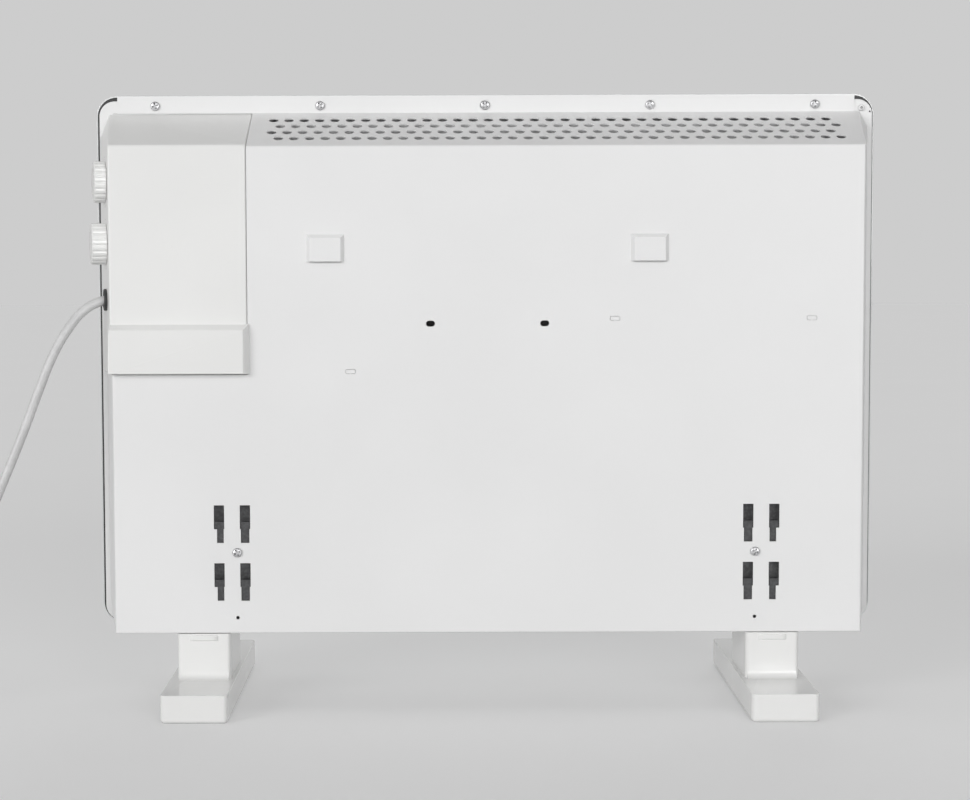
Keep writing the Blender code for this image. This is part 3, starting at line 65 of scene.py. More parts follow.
GAP = 0.0003  # what neighbouring pieces stand apart
BITE = 0.002  # how far a cutting solid reaches past what it cuts
SAME = 1e-6  # points nearer than this are one
FLAT = 0.0002  # faces that meet at less than this angle are one
BACKWARDS = Matrix.Rotation(-math.pi / 2, 4, "X")


class Body(str, Enum):
    """The bodies that pieces ride on."""

    HEATER = "heater"
    THERMOSTAT = "thermostat"
    SELECTOR = "selector"


class Join(str, Enum):
    """How one solid changes another."""

    CUT = "DIFFERENCE"
    ADD = "UNION"


class Axis(str, Enum):
    """The axis that an outline is drawn across."""

    X = "X"
    Y = "Y"
    Z = "Z"

    def place(self, point: Point, along: float) -> Vector:
        """Put a flat point in space, at a distance along this axis."""
        a, b = point
        return Vector({"X": (along, a, b), "Y": (a, along, b), "Z": (a, b, along)}[self.value])


# ---- outlines ------------------------------------------------------------------------------------

def rectangle(width: float, height: float, centre: Point = (0.0, 0.0)) -> list[Point]:
    """The four corners of a rectangle about a centre."""
    (x, y), a, b = centre, width / 2, height / 2
    return [(x - a, y - b), (x + a, y - b), (x + a, y + b), (x - a, y + b)]


def span(x0: float, x1: float, y0: float, y1: float) -> list[Point]:
    """The four corners of a rectangle between limits."""
    return rectangle(x1 - x0, y1 - y0, ((x0 + x1) / 2, (y0 + y1) / 2))


def rounded(width: float, height: float, radius: float, steps: int = 6,
            centre: Point = (0.0, 0.0)) -> list[Point]:
    """The outline of a rectangle with round corners.

    Args:
        width: Size along the first axis.
        height: Size along the second axis.
        radius: Corner radius.
        steps: Edges in each corner.
        centre: Middle of the rectangle.

    Returns:
        The points in order.
    """
    points = []
    for quarter, (sx, sy) in enumerate(((1, 1), (-1, 1), (-1, -1), (1, -1))):
        x, y = centre[0] + sx * (width / 2 - radius), centre[1] + sy * (height / 2 - radius)
        for step in range(steps + 1):
            turn = math.pi / 2 * (quarter + step / steps)
            points.append((x + radius * math.cos(turn), y + radius * math.sin(turn)))
    return points


def circle(radius: float, sides: int, centre: Point = (0.0, 0.0)) -> list[Point]:
    """The corners of a regular polygon about a centre."""
    turns = [2 * math.pi * (i + 0.5) / sides for i in range(sides)]
    return [(centre[0] + radius * math.cos(t), centre[1] + radius * math.sin(t)) for t in turns]


def quarter_arc(steps: int) -> list[Point]:
    """Points of a unit quarter circle from (1, 0) to (0, 1)."""
    return [(math.cos(math.pi / 2 * i / steps), math.sin(math.pi / 2 * i / steps))
            for i in range(steps + 1)]


def round_rim(radius: float, top: float, edge: float, steps: int) -> list[Point]:
    """A rounded rim as (radius, height) points, from its side up to its top."""
    return [(radius - edge * (1 - c), top - edge * (1 - s)) for c, s in quarter_arc(steps)]


def seen_middle(node: str, across: Axis) -> Point:
    """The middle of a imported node's box, as it is seen along an axis."""
    low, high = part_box(node)
    x, y, z = ((low[i] + high[i]) / 2 for i in range(3))
    return {Axis.X: (y, z), Axis.Y: (x, z), Axis.Z: (x, y)}[across]


def flange_screws() -> list[str]:
    """The names of the screws along the flange."""
    return [f"flange_screw_{i}" for i in range(1, 6)]


def foot_screws(side: str) -> list[str]:
    """The names of one foot's screws."""
    return [f"foot_screw_{side}_{i}" for i in (1, 2)]


# ---- shapes --------------------------------------------------------------------------------------

class Form:
    """A solid that bmesh operators shape, and that ends as one object of the scene."""

    def __init__(self) -> None:
        """Start with nothing."""
        self.bm = bmesh.new()

    def outline(self, points: Iterable[Point], axis: Axis, along: float) -> bmesh.types.BMFace:
        """Draw one flat face across an axis."""
        return self.bm.faces.new([self.bm.verts.new(axis.place(p, along)) for p in points])

    def extrude(self, face: bmesh.types.BMFace, way: Vector) -> bmesh.types.BMFace:
        """Pull a face out of the form.

        Args:
            face: The face to pull.
            way: How far and which way it goes.

        Returns:
            The face at the far end.
        """
        joined = any(len(e.link_faces) > 1 for e in face.edges)
        made = bmesh.ops.extrude_face_region(self.bm, geom=[face])["geom"]
        if joined and face.is_valid:
            bmesh.ops.delete(self.bm, geom=[face], context="FACES_ONLY")
        moved = [g for g in made if isinstance(g, bmesh.types.BMVert)]
        bmesh.ops.translate(self.bm, verts=moved, vec=way)
        return next(g for g in made if isinstance(g, bmesh.types.BMFace))

    def prism(self, points: Iterable[Point], axis: Axis, low: float, high: float) -> "Form":
        """Add an outline extruded along an axis, and return this form."""
        self.extrude(self.outline(points, axis, low), axis.place((0, 0), high - low))
        return self

    def pins(self, places: Iterable[Point], diameter: float, sides: int, axis: Axis, low: float,
             high: float) -> "Form":
        """Add round prisms of one size.

        Args:
            places: Their middles.
            diameter: Of each.
            sides: Of each.
            axis: What they lie along.
            low: Where they start.
            high: Where they end.

        Returns:
            This form.
        """
        for place in places:
            self.prism(circle(diameter / 2, sides, place), axis, low, high)
        return self

    def take(self, other: "Form") -> None:
        """Take in the faces of another form, which is used up."""
        mesh = other.object("spare").data
        self.bm.from_mesh(mesh)
        bpy.data.meshes.remove(mesh)

    def hull(self, points: Iterable[Sequence[float]]) -> "Form":
        """Add the convex solid around some points, and return this form."""
        verts = [self.bm.verts.new(p) for p in points]
        result = bmesh.ops.convex_hull(self.bm, input=verts)
        spare = [g for g in result["geom_interior"] if isinstance(g, bmesh.types.BMVert)]
        bmesh.ops.delete(self.bm, geom=spare, context="VERTS")
        return self

    def lathe(self, profile: Sequence[Point], sides: int) -> "Form":
        """Add a profile of (radius, height) points spun round Z, and return this form."""
        verts = [self.bm.verts.new((r, 0, z)) for r, z in profile]
        edges = [self.bm.edges.new(pair) for pair in zip(verts, verts[1:])]
        if profile[0][0] > 0:
            edges.append(self.bm.edges.new((verts[-1], verts[0])))
        bmesh.ops.spin(self.bm, geom=verts + edges, cent=(0, 0, 0), axis=(0, 0, 1),
                       angle=2 * math.pi, steps=sides, use_merge=True)
        bmesh.ops.remove_doubles(self.bm, verts=self.bm.verts, dist=SAME)
        return self

    def bevel(self, width: float, segments: int,
              wanted: Callable[[bmesh.types.BMEdge], bool]) -> "Form":
        """Round some of the edges.

        Args:
            width: Size of the rounding.
            segments: Faces across it.
            wanted: Says whether an edge is rounded.

        Returns:
            This form.
        """
        self.bm.normal_update()
        edges = [e for e in self.bm.edges if wanted(e)]
        bmesh.ops.bevel(self.bm, geom=edges, offset=width, offset_type="OFFSET", segments=segments,
                        profile=0.5, affect="EDGES", clamp_overlap=True, material=-1)
        return self

    def move(self, matrix: Matrix) -> "Form":
        """Place the whole form, and return it."""
        bmesh.ops.transform(self.bm, matrix=matrix, verts=self.bm.verts)
        return self

    def tidy(self) -> "Form":
        """Merge doubled points, dissolve flat edges and point the faces outwards."""
        bmesh.ops.remove_doubles(self.bm, verts=self.bm.verts, dist=SAME)
        bmesh.ops.dissolve_limit(self.bm, angle_limit=FLAT, verts=self.bm.verts,
                                 edges=self.bm.edges)
        bmesh.ops.recalc_face_normals(self.bm, faces=self.bm.faces)
        return self

    def object(self, name: str) -> bpy.types.Object:
        """Turn the form into an object of the scene."""
        mesh = bpy.data.meshes.new(name)
        self.tidy().bm.to_mesh(mesh)
        self.bm.free()
        made = bpy.data.objects.new(name, mesh)
        bpy.context.scene.collection.objects.link(made)
        return made

    def change(self, other: "Form", how: Join) -> "Form":
        """Cut another form from this one, or join it on.

        Args:
            other: The solid that changes this one; it is used up.
            how: Whether it is cut away or added.

        Returns:
            This form.
        """
        solid, tool = self.object("solid"), other.object("tool")
        modifier = solid.modifiers.new("change", "BOOLEAN")
        modifier.operation, modifier.solver, modifier.object = how.value, "EXACT", tool
        graph = bpy.context.evaluated_depsgraph_get()
        mesh = bpy.data.meshes.new_from_object(solid.evaluated_get(graph))
        self.bm = bmesh.new()
        self.bm.from_mesh(mesh)
        for spare in (solid.data, tool.data, mesh):
            bpy.data.meshes.remove(spare)
        return self

    def cut(self, other: "Form") -> "Form":
        """Cut another form from this one."""
        return self.change(other, Join.CUT)

    def add(self, other: "Form") -> "Form":
        """Join another form to this one."""
        return self.change(other, Join.ADD)


def settle(piece: bpy.types.Object, body: Body, replaced: Sequence[str] = ()) -> None:
    """Tie a finished piece to its body, hide the nodes that it stands for, and log it."""
    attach(piece, body.value)
    if replaced:
        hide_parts(*replaced)
    log.info("%s rides on %s", piece.name, body.value)


def even_shading(piece: bpy.types.Object, sharp: float) -> None:
    """Shade a piece smooth below an angle, with normals weighted by its large faces."""
    piece.data.shade_smooth()
    piece.data.set_sharp_from_angle(angle=math.radians(sharp))
    weighted = piece.modifiers.new("even_normals", "WEIGHTED_NORMAL")
    weighted.keep_sharp = True
    weighted.weight = 80


def build_piece(name: str, form: Form, finish: "Finish", body: Body = Body.HEATER,
                replaced: Sequence[str] = (), sharp: float = 30.0) -> bpy.types.Object:
    """Turn a form into a dressed piece of the heater.

    Args:
        name: The piece's name.
        form: Its shape.
        finish: What it is made of.
        body: What it rides on.
        replaced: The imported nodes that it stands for.
        sharp: The angle in degrees below which its faces blend.

    Returns:
        The piece.
    """
    piece = form.object(name)
    piece.data.materials.append(finish.material())
    even_shading(piece, sharp)
    settle(piece, body, replaced)
    return piece


def dress_node(node: str, finish: "Finish", edge: float = 0.0) -> None:
    """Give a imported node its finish, with its seams welded and its edges eased.

    Args:
        node: The node's name.
        finish: What it is made of.
        edge: How wide its sharp edges are broken; 0 leaves them.
    """
    piece = frame["nodes"][node]
    piece.data.materials.clear()
    piece.data.materials.append(finish.material())
    piece.data.shade_smooth()
    weld = piece.modifiers.new("weld", "WELD")
    weld.merge_threshold = SAME
    if edge:
        eased = piece.modifiers.new("eased_edges", "BEVEL")
        eased.width, eased.segments, eased.limit_method = edge, 2, "ANGLE"
        eased.angle_limit = math.radians(50)
    weighted = piece.modifiers.new("even_normals", "WEIGHTED_NORMAL")
    weighted.keep_sharp = True
    log.info("%s keeps its packed shape and is %s", node, finish.slot)


# ---- node groups shared by the finishes ----------------------------------------------------------

@dataclass
class Sketch:
    """A node tree that is being laid out."""

    tree: bpy.types.NodeTree

    def node(self, kind: str, **settings: object) -> bpy.types.Node:
        """Add a node and set its properties."""
        made = self.tree.nodes.new(kind)
        made.location = (220 * len(self.tree.nodes), 0)
        for name, value in settings.items():
            setattr(made, name, value)
        return made

    def feed(self, socket: bpy.types.NodeSocket, value: object) -> None:
        """Link a socket to an output, or set its own value."""
        if isinstance(value, bpy.types.NodeSocket):
            self.tree.links.new(value, socket)
        else:
            socket.default_value = value

    def coordinates(self, stretch: Place = (1.0, 1.0, 1.0)) -> bpy.types.NodeSocket:
        """The object's own coordinates, stretched along its axes."""
        mapping = self.node("ShaderNodeMapping")
        mapping.inputs["Scale"].default_value = stretch
        self.feed(mapping.inputs["Vector"], self.node("ShaderNodeTexCoord").outputs["Object"])
        return mapping.outputs["Vector"]

    def noise(self, scale: object, detail: float = 2.0,
              stretch: Place = (1.0, 1.0, 1.0)) -> bpy.types.NodeSocket:
        """A noise value from 0 to 1 over the object's coordinates."""
        made = self.node("ShaderNodeTexNoise")
        self.feed(made.inputs["Vector"], self.coordinates(stretch))
        self.feed(made.inputs["Scale"], scale)
        made.inputs["Detail"].default_value = detail
        return made.outputs["Fac"]

    def cells(self, scale: object) -> bpy.types.NodeSocket:
        """Cells of an even random colour each, over the object's coordinates."""
        made = self.node("ShaderNodeTexVoronoi", feature="F1")
        self.feed(made.inputs["Vector"], self.coordinates())
        self.feed(made.inputs["Scale"], scale)
        return made.outputs["Color"]

    def stain(self, share: object, most: float, tone: object,
              other: Colour) -> bpy.types.NodeSocket:
        """Let a share, weakened by its greatest effect, pull a tone towards another colour."""
        return self.blend(self.math("MULTIPLY", share, most), tone, other)

    def math(self, what: str, a: object, b: object = 0.0) -> bpy.types.NodeSocket:
        """One step of arithmetic."""
        made = self.node("ShaderNodeMath", operation=what)
        self.feed(made.inputs[0], a)
        self.feed(made.inputs[1], b)
        return made.outputs[0]

    def between(self, value: object, low: float, high: float, to_low: float = 0.0,
                to_high: float = 1.0) -> bpy.types.NodeSocket:
        """Stretch a value from one range to another, smoothly, and stop at the ends."""
        made = self.node("ShaderNodeMapRange", interpolation_type="SMOOTHSTEP")
        for name, part in (("Value", value), ("From Min", low), ("From Max", high),
                           ("To Min", to_low), ("To Max", to_high)):
            self.feed(made.inputs[name], part)
        return made.outputs["Result"]

    def blend(self, share: object, one: object, two: object) -> bpy.types.NodeSocket:
        """Mix two colours by a share."""
        made = self.node("ShaderNodeMix", data_type="RGBA", blend_type="MIX")
        self.feed(made.inputs["Factor"], share)
        for name, part in (("A", one), ("B", two)):
            socket = [s for s in made.inputs if s.name == name and s.type == "RGBA"][0]
            self.feed(socket, (*part, 1.0) if isinstance(part, tuple) and len(part) == 3 else part)
        return [s for s in made.outputs if s.type == "RGBA"][0]

    def axis_part(self, vector: bpy.types.NodeSocket, axis: Axis) -> bpy.types.NodeSocket:
        """One component of a vector."""
        made = self.node("ShaderNodeSeparateXYZ")
        self.feed(made.inputs[0], vector)
        return made.outputs[axis.value]

    def facing(self) -> bpy.types.NodeSocket:
        """The direction that the surface faces on the object itself."""
        return self.node("ShaderNodeTexCoord").outputs["Normal"]


Laid = dict[str, bpy.types.NodeSocket]


def effect(name: str, setting: str, usual: float,
           lay_out: Callable[[Sketch, bpy.types.NodeSocket], Laid]) -> bpy.types.NodeTree:
    """Make a shared effect once, or find it again.

    Args:
        name: The group's name.
        setting: The name of its one input.
        usual: The input's usual value.
        lay_out: Lays the nodes out from the input and returns what each output gives.

    Returns:
        The node group.
    """
    if name in bpy.data.node_groups:
        return bpy.data.node_groups[name]
    tree = bpy.data.node_groups.new(name, "ShaderNodeTree")
    number = "NodeSocketFloat"
    tree.interface.new_socket(setting, in_out="INPUT", socket_type=number).default_value = usual
    sketch = Sketch(tree)
    given = sketch.node("NodeGroupInput").outputs[setting]
    laid = lay_out(sketch, given)
    for title in laid:
        tree.interface.new_socket(title, in_out="OUTPUT", socket_type=number)
    end = sketch.node("NodeGroupOutput")
    for title, value in laid.items():
        sketch.feed(end.inputs[title], value)
    return tree


def coat_texture() -> bpy.types.NodeTree:
    """The fine orange peel of a sprayed coat, and the slow drift of its gloss."""
    def lay_out(s: Sketch, given: bpy.types.NodeSocket) -> Laid:
        """Two sizes of ripple for the height, and one wide noise for the drift."""
        wide = s.noise(given, 1.0)
        fine = s.noise(s.math("MULTIPLY", given, 2.7), 2.0)
        height = s.math("ADD", s.math("MULTIPLY", wide, 0.7), s.math("MULTIPLY", fine, 0.3))
        return {"Height": height, "Drift": s.between(s.noise(7.0, 3.0), 0.3, 0.7)}
    return effect("coat_texture", "Ripple Scale", 420.0, lay_out)


def handling_marks() -> bpy.types.NodeTree:
    """Faint smears and short hairline scratches from handling."""
    def lay_out(s: Sketch, given: bpy.types.NodeSocket) -> Laid:
        """Smears from a broken noise; scratches from two thin stretched ones."""
        smears = s.between(s.noise(given, 6.0), 0.52, 0.72)
        one = s.between(s.noise(60.0, 1.0, (1.0, 1.0, 14.0)), 0.695, 0.715)
        two = s.between(s.noise(75.0, 1.0, (12.0, 1.0, 1.3)), 0.70, 0.72)
        return {"Smears": smears, "Scratches": s.math("MAXIMUM", one, two)}
    return effect("handling_marks", "Smear Scale", 14.0, lay_out)


def settled_dust() -> bpy.types.NodeTree:
    """Thin dust that lies where a surface faces up."""
    def lay_out(s: Sketch, given: bpy.types.NodeSocket) -> Laid:
        """The upward share of the surface, broken by a soft noise."""
        upward = s.between(s.axis_part(s.facing(), Axis.Z), given, 1.0)
        return {"Dust": s.math("MULTIPLY", upward, s.between(s.noise(45.0, 5.0), 0.35, 0.75))}
    return effect("settled_dust", "Steepest", 0.55, lay_out)


def brushed_lines() -> bpy.types.NodeTree:
    """Fine lines along X, as on drawn, rolled or extruded metal."""
    def lay_out(s: Sketch, given: bpy.types.NodeSocket) -> Laid:
        """A noise that is squeezed across X."""
        lines = s.noise(given, 3.0, (0.02, 1.0, 1.0))
        return {"Lines": lines, "Wide Lines": s.noise(90.0, 2.0, (0.05, 1.0, 1.0))}
    return effect("brushed_lines", "Line Scale", 900.0, lay_out)


def zinc_spangle() -> bpy.types.NodeTree:
    """The crystal flakes of hot-dip galvanised sheet."""
    def lay_out(s: Sketch, given: bpy.types.NodeSocket) -> Laid:
        """Cells of an even tone each, softened by a second, finer set."""
        large = s.axis_part(s.cells(given), Axis.X)
        small = s.axis_part(s.cells(s.math("MULTIPLY", given, 2.3)), Axis.Y)
        both = s.math("ADD", s.math("MULTIPLY", large, 0.65), s.math("MULTIPLY", small, 0.35))
        return {"Flakes": both}
    return effect("zinc_spangle", "Flake Scale", 130.0, lay_out)


# ---- finishes ------------------------------------------------------------------------------------

@dataclass(frozen=True)
class Finish:
    """What a piece is made of: a slot of the record, a plain colour and how rough it is.

    Its tone drifts between two shares of the colour, its roughness between two steps from the
    usual value, and its relief has a depth and a strength.
    """

    slot: str
    name: str
    colour: Colour
    roughness: float
    metallic: float = 0.0
    drift: Point = (1.0, 1.0)
    sheen: Point = (0.0, 0.0)
    bump: Point = (0.00004, 0.3)

    def material(self) -> bpy.types.Material:
        """Make this finish's material once, or find it again."""
        if self.name in bpy.data.materials:
            return bpy.data.materials[self.name]
        made = bpy.data.materials.new(self.name)
        made.use_nodes = True
        made.diffuse_color = (*self.colour, 1.0)
        sketch = Sketch(made.node_tree)
        shader = made.node_tree.nodes["Principled BSDF"]
        shader.inputs["Base Color"].default_value = (*self.colour, 1.0)
        shader.inputs["Roughness"].default_value = self.roughness
        shader.inputs["Metallic"].default_value = self.metallic
        self.dress(sketch, shader)
        return made

    def dress(self, s: Sketch, shader: bpy.types.Node) -> None:
        """Add what this finish has beside its colour; the plain one has a fine grain."""
        self.relief(s, shader, s.noise(700.0, 3.0))

    def shared(self, s: Sketch, group: bpy.types.NodeTree) -> bpy.types.Node:
        """Add one of the shared effects."""
        return s.node("ShaderNodeGroup", node_tree=group)

    def gloss(self, s: Sketch, share: bpy.types.NodeSocket,
              limits: Point = (0.0, 1.0)) -> bpy.types.NodeSocket:
        """Let a share, between its limits, move the roughness from one step to the other."""
        low, high = self.sheen
        return s.between(share, *limits, self.roughness + low, self.roughness + high)

    def relief(self, s: Sketch, shader: bpy.types.Node, height: bpy.types.NodeSocket) -> None:
        """Give the surface its relief.

        Args:
            s: The material's nodes.
            shader: Its shader.
            height: The relief's height from 0 to 1.
        """
        bump = s.node("ShaderNodeBump")
        bump.inputs["Distance"].default_value, bump.inputs["Strength"].default_value = self.bump
        s.feed(bump.inputs["Height"], height)
        s.feed(shader.inputs["Normal"], bump.outputs["Normal"])

    def tones(self) -> tuple[Colour, Colour]:
        """The plain colour at both ends of its drift."""
        low, high = self.drift
        lighter = tuple(min(c * high, 0.95) for c in self.colour)
        return tuple(c * low for c in self.colour), lighter


@dataclass(frozen=True)
class PowderCoat(Finish):
    """White powder coat on steel sheet: orange peel, a slow drift of gloss and faint smears."""

    drift: Point = (0.985, 1.012)
    sheen: Point = (-0.04, 0.05)
    bump: Point = (0.00012, 0.16)
    scratched: Colour = (0.62, 0.62, 0.61)
    dusty: Colour = (0.55, 0.53, 0.50)

    def dress(self, s: Sketch, shader: bpy.types.Node) -> None:
        """Ripple, drift, smears, hairlines and a little dust."""
        coat = self.shared(s, coat_texture())
        marks = self.shared(s, handling_marks())
        dust = self.shared(s, settled_dust())
        tone = s.blend(coat.outputs["Drift"], *self.tones())
        tone = s.stain(marks.outputs["Scratches"], 0.03, tone, self.scratched)
        tone = s.stain(dust.outputs["Dust"], 0.12, tone, self.dusty)
        s.feed(shader.inputs["Base Color"], tone)
        rough = self.gloss(s, coat.outputs["Drift"])
        smooth = s.math("MULTIPLY", marks.outputs["Smears"], -0.06)
        s.feed(shader.inputs["Roughness"], s.math("ADD", rough, smooth))
        self.relief(s, shader, coat.outputs["Height"])


@dataclass(frozen=True)
class MouldedPlastic(Finish):
    """Injection-moulded plastic: an even tone, a very fine skin and rubbed places."""

    drift: Point = (0.98, 1.01)
    sheen: Point = (0.0, 0.03)
    bump: Point = (0.00003, 0.25)
    skin: float = 900.0
    coat: float = 0.0
    coat_roughness: float = 0.12

    def dress(self, s: Sketch, shader: bpy.types.Node) -> None:
        """Skin, flow drift, smears and hairlines."""
        coat = self.shared(s, coat_texture())
        coat.inputs["Ripple Scale"].default_value = self.skin
        marks = self.shared(s, handling_marks())
        tone = s.blend(coat.outputs["Drift"], *self.tones())
        worn = tuple(c * 0.8 + 0.06 for c in self.colour)
        s.feed(shader.inputs["Base Color"], s.stain(marks.outputs["Scratches"], 0.06, tone, worn))
        s.feed(shader.inputs["Roughness"], self.gloss(s, marks.outputs["Smears"]))
        shader.inputs["Coat Weight"].default_value = self.coat
        shader.inputs["Coat Roughness"].default_value = self.coat_roughness
        self.relief(s, shader, coat.outputs["Height"])


@dataclass(frozen=True)
class PaintedGlass(Finish):
    """Float glass painted behind: its faces show the paint, its ground edge its own tint."""

    drift: Point = (0.99, 1.01)
    sheen: Point = (0.0, 0.05)
    bump: Point = (0.00002, 0.4)
    edge: Colour = (0.30, 0.34, 0.33)
    index: float = 1.52
    coat: Point = (0.6, 0.03)

    def dress(self, s: Sketch, shader: bpy.types.Node) -> None:
        """Paint on the faces, tint on the edges, faint wipe marks in the gloss."""
        marks = self.shared(s, handling_marks())
        across = s.math("ABSOLUTE", s.axis_part(s.facing(), Axis.Y))
        edge = s.between(across, 0.55, 0.2)
        drift = s.between(s.noise(4.0, 2.0), 0.3, 0.7)
        paint = s.blend(drift, *self.tones())
        s.feed(shader.inputs["Base Color"], s.blend(edge, paint, self.edge))
        wiped = self.gloss(s, marks.outputs["Smears"])
        s.feed(shader.inputs["Roughness"], s.math("ADD", wiped, s.math("MULTIPLY", edge, 0.12)))
        shader.inputs["IOR"].default_value = self.index
        shader.inputs["Coat Weight"].default_value = self.coat[0]
        shader.inputs["Coat Roughness"].default_value = self.coat[1]
        self.relief(s, shader, s.math("MULTIPLY", s.noise(1500.0, 2.0), edge))


@dataclass(frozen=True)
class Plated(Finish):
    """Bright zinc plating on small turned parts, duller in patches, with painted shade darkening
    its recesses.
    """

    drift: Point = (0.78, 1.1)
    sheen: Point = (0.12, 0.0)
    bump: Point = (0.00003, 0.3)
    # painted shade: how far the occlusion test reaches, and how dark the colour goes where it is
    # occluded
    recess_shade_reach: float = 0.0012
    recess_shade_tone: float = 0.12

    def dress(self, s: Sketch, shader: bpy.types.Node) -> None:
        """Cloudy patches, fine pitting and painted shade in the recesses, taken from ambient
        occlusion.
        """
        clouds = s.between(s.noise(350.0, 4.0), 0.35, 0.7)
        # painted shade: ambient occlusion darkens the base colour in crosses, sockets, seats and
        # other recesses
        open_sky = s.node("ShaderNodeAmbientOcclusion", samples=8)
        open_sky.inputs["Distance"].default_value = self.recess_shade_reach
        recess_shade = s.between(open_sky.outputs["AO"], 0.75, 0.25)
        shade_colour = tuple(c * self.recess_shade_tone for c in self.colour)
        tone = s.blend(clouds, *self.tones())
        s.feed(shader.inputs["Base Color"], s.blend(recess_shade, tone, shade_colour))
        s.feed(shader.inputs["Roughness"], self.gloss(s, clouds))
        self.relief(s, shader, s.noise(2600.0, 3.0))


@dataclass(frozen=True)
class Galvanised(Finish):
    """Galvanised steel sheet with its spangle and rolling lines."""

    drift: Point = (0.8, 1.18)
    sheen: Point = (-0.08, 0.10)
    bump: Point = (0.00003, 0.2)
    line: Colour = (0.30, 0.30, 0.31)

    def dress(self, s: Sketch, shader: bpy.types.Node) -> None:
        """Flakes in tone and gloss, with faint lines."""
        flakes = self.shared(s, zinc_spangle()).outputs["Flakes"]
        lines = self.shared(s, brushed_lines()).outputs["Lines"]
        tone = s.blend(flakes, *self.tones())
        s.feed(shader.inputs["Base Color"], s.stain(lines, 0.15, tone, self.line))
        s.feed(shader.inputs["Roughness"], self.gloss(s, flakes))
        self.relief(s, shader, s.math("ADD", flakes, lines))


@dataclass(frozen=True)
class Drawn(Finish):
    """Extruded aluminium or laminated steel with lines along its length."""

    drift: Point = (0.82, 1.12)
    sheen: Point = (0.0, 0.15)
    bump: Point = (0.00005, 0.35)

    def dress(self, s: Sketch, shader: bpy.types.Node) -> None:
        """Lines in tone, gloss and relief."""
        given = self.shared(s, brushed_lines()).outputs
        s.feed(shader.inputs["Base Color"], s.blend(given["Wide Lines"], *self.tones()))
        s.feed(shader.inputs["Roughness"], self.gloss(s, given["Lines"], (0.3, 0.7)))
        self.relief(s, shader, given["Lines"])


@dataclass(frozen=True)
class Elastic(Finish):
    """Rubber and soft plastic: a matt, slightly dusty skin."""

    sheen: Point = (-0.06, 0.08)
    bump: Point = (0.00005, 0.25)
    grain: float = 1200.0
    dusty: Colour = (0.5, 0.49, 0.47)

    def dress(self, s: Sketch, shader: bpy.types.Node) -> None:
        """Bloom on the surface and a soft grain."""
        bloom = s.between(s.noise(120.0, 5.0), 0.4, 0.75)
        dust = self.shared(s, settled_dust()).outputs["Dust"]
        pale = tuple(min(c * 1.25 + 0.02, 0.9) for c in self.colour)
        tone = s.stain(bloom, 0.45, self.colour, pale)
        s.feed(shader.inputs["Base Color"], s.stain(dust, 0.10, tone, self.dusty))
        s.feed(shader.inputs["Roughness"], self.gloss(s, bloom))
        self.relief(s, shader, s.noise(self.grain, 3.0))


@dataclass(frozen=True)
class Bakelite(Finish):
    """Dark thermoset with a mottled filler and a dull sheen."""

    drift: Point = (0.75, 1.5)
    sheen: Point = (-0.05, 0.1)
    bump: Point = (0.00003, 0.25)

    def dress(self, s: Sketch, shader: bpy.types.Node) -> None:
        """Mottling in tone and gloss."""
        mottle = s.between(s.noise(260.0, 5.0), 0.35, 0.7)
        s.feed(shader.inputs["Base Color"], s.blend(mottle, *self.tones()))
        s.feed(shader.inputs["Roughness"], self.gloss(s, mottle))
        self.relief(s, shader, s.noise(1100.0, 2.0))


class Finishes:
    """Every finish of the heater, by its maker's name."""

    GLASS = PaintedGlass("glass", "white_back_painted_glass", (0.86, 0.87, 0.87), 0.06)
    STEEL = PowderCoat("white_steel", "white_powder_coat", (0.80, 0.80, 0.80), 0.42)
    PLASTIC = MouldedPlastic("white_plastic", "white_moulded_plastic", (0.82, 0.82, 0.81), 0.34)
    GLOSS = MouldedPlastic("white_plastic", "white_gloss_plastic", (0.82, 0.82, 0.81), 0.22,
                           coat=0.35)
    KNOB = MouldedPlastic("white_plastic", "white_knob_plastic", (0.83, 0.83, 0.82), 0.26,
                          coat=0.25)
    INK = MouldedPlastic("white_plastic", "grey_dial_ink", (0.22, 0.22, 0.23), 0.45)
    BLACK = MouldedPlastic("black_plastic", "black_moulded_plastic", (0.05, 0.05, 0.05), 0.42,
                           bump=(0.00006, 0.25))
    RUBBER = Elastic("rubber", "black_rubber", (0.030, 0.030, 0.031), 0.55)
    CORD = Elastic("cord", "grey_cord_jacket", (0.60, 0.60, 0.60), 0.40, grain=1800.0)
    TIE = Elastic("cord", "white_tie_strip", (0.74, 0.74, 0.73), 0.45, grain=900.0)
    ZINC = Plated("zinc", "zinc_plating", (0.62, 0.62, 0.63), 0.32, metallic=0.85)
    PAINTED = Plated("zinc", "painted_screw_head", (0.80, 0.80, 0.80), 0.45)
    SHEET = Galvanised("bare_steel", "galvanised_sheet", (0.50, 0.50, 0.50), 0.38, metallic=0.75)
    SHIELD = Galvanised("bare_steel", "pale_aluminised_sheet", (0.80, 0.80, 0.80), 0.55)
    HOOK = Plated("dark_steel", "blackened_hook_plate", (0.17, 0.17, 0.175), 0.50, metallic=0.4)
    # painted shade: the tongues are the hook plates' own blackened steel, coloured darker than HOOK
    # to paint the shade they stand in
    TONGUE_IN_PAINTED_SHADE = Plated("dark_steel", "blackened_hook_tongue_with_painted_shade", (0.075, 0.075, 0.078), 0.50,
                    metallic=0.4)
    STACK = Drawn("dark_steel", "laminated_steel", (0.20, 0.20, 0.21), 0.45, metallic=0.7)
    ALUMINIUM = Drawn("aluminium", "extruded_aluminium", (0.70, 0.70, 0.71), 0.28, metallic=0.95)
    BAKELITE = Bakelite("bakelite", "dark_bakelite", (0.10, 0.08, 0.07), 0.45)
    WIRE = Elastic("wire", "wire_sleeve", (0.70, 0.70, 0.68), 0.42, grain=2400.0)


# ---- the folded casing ---------------------------------------------------------------------------

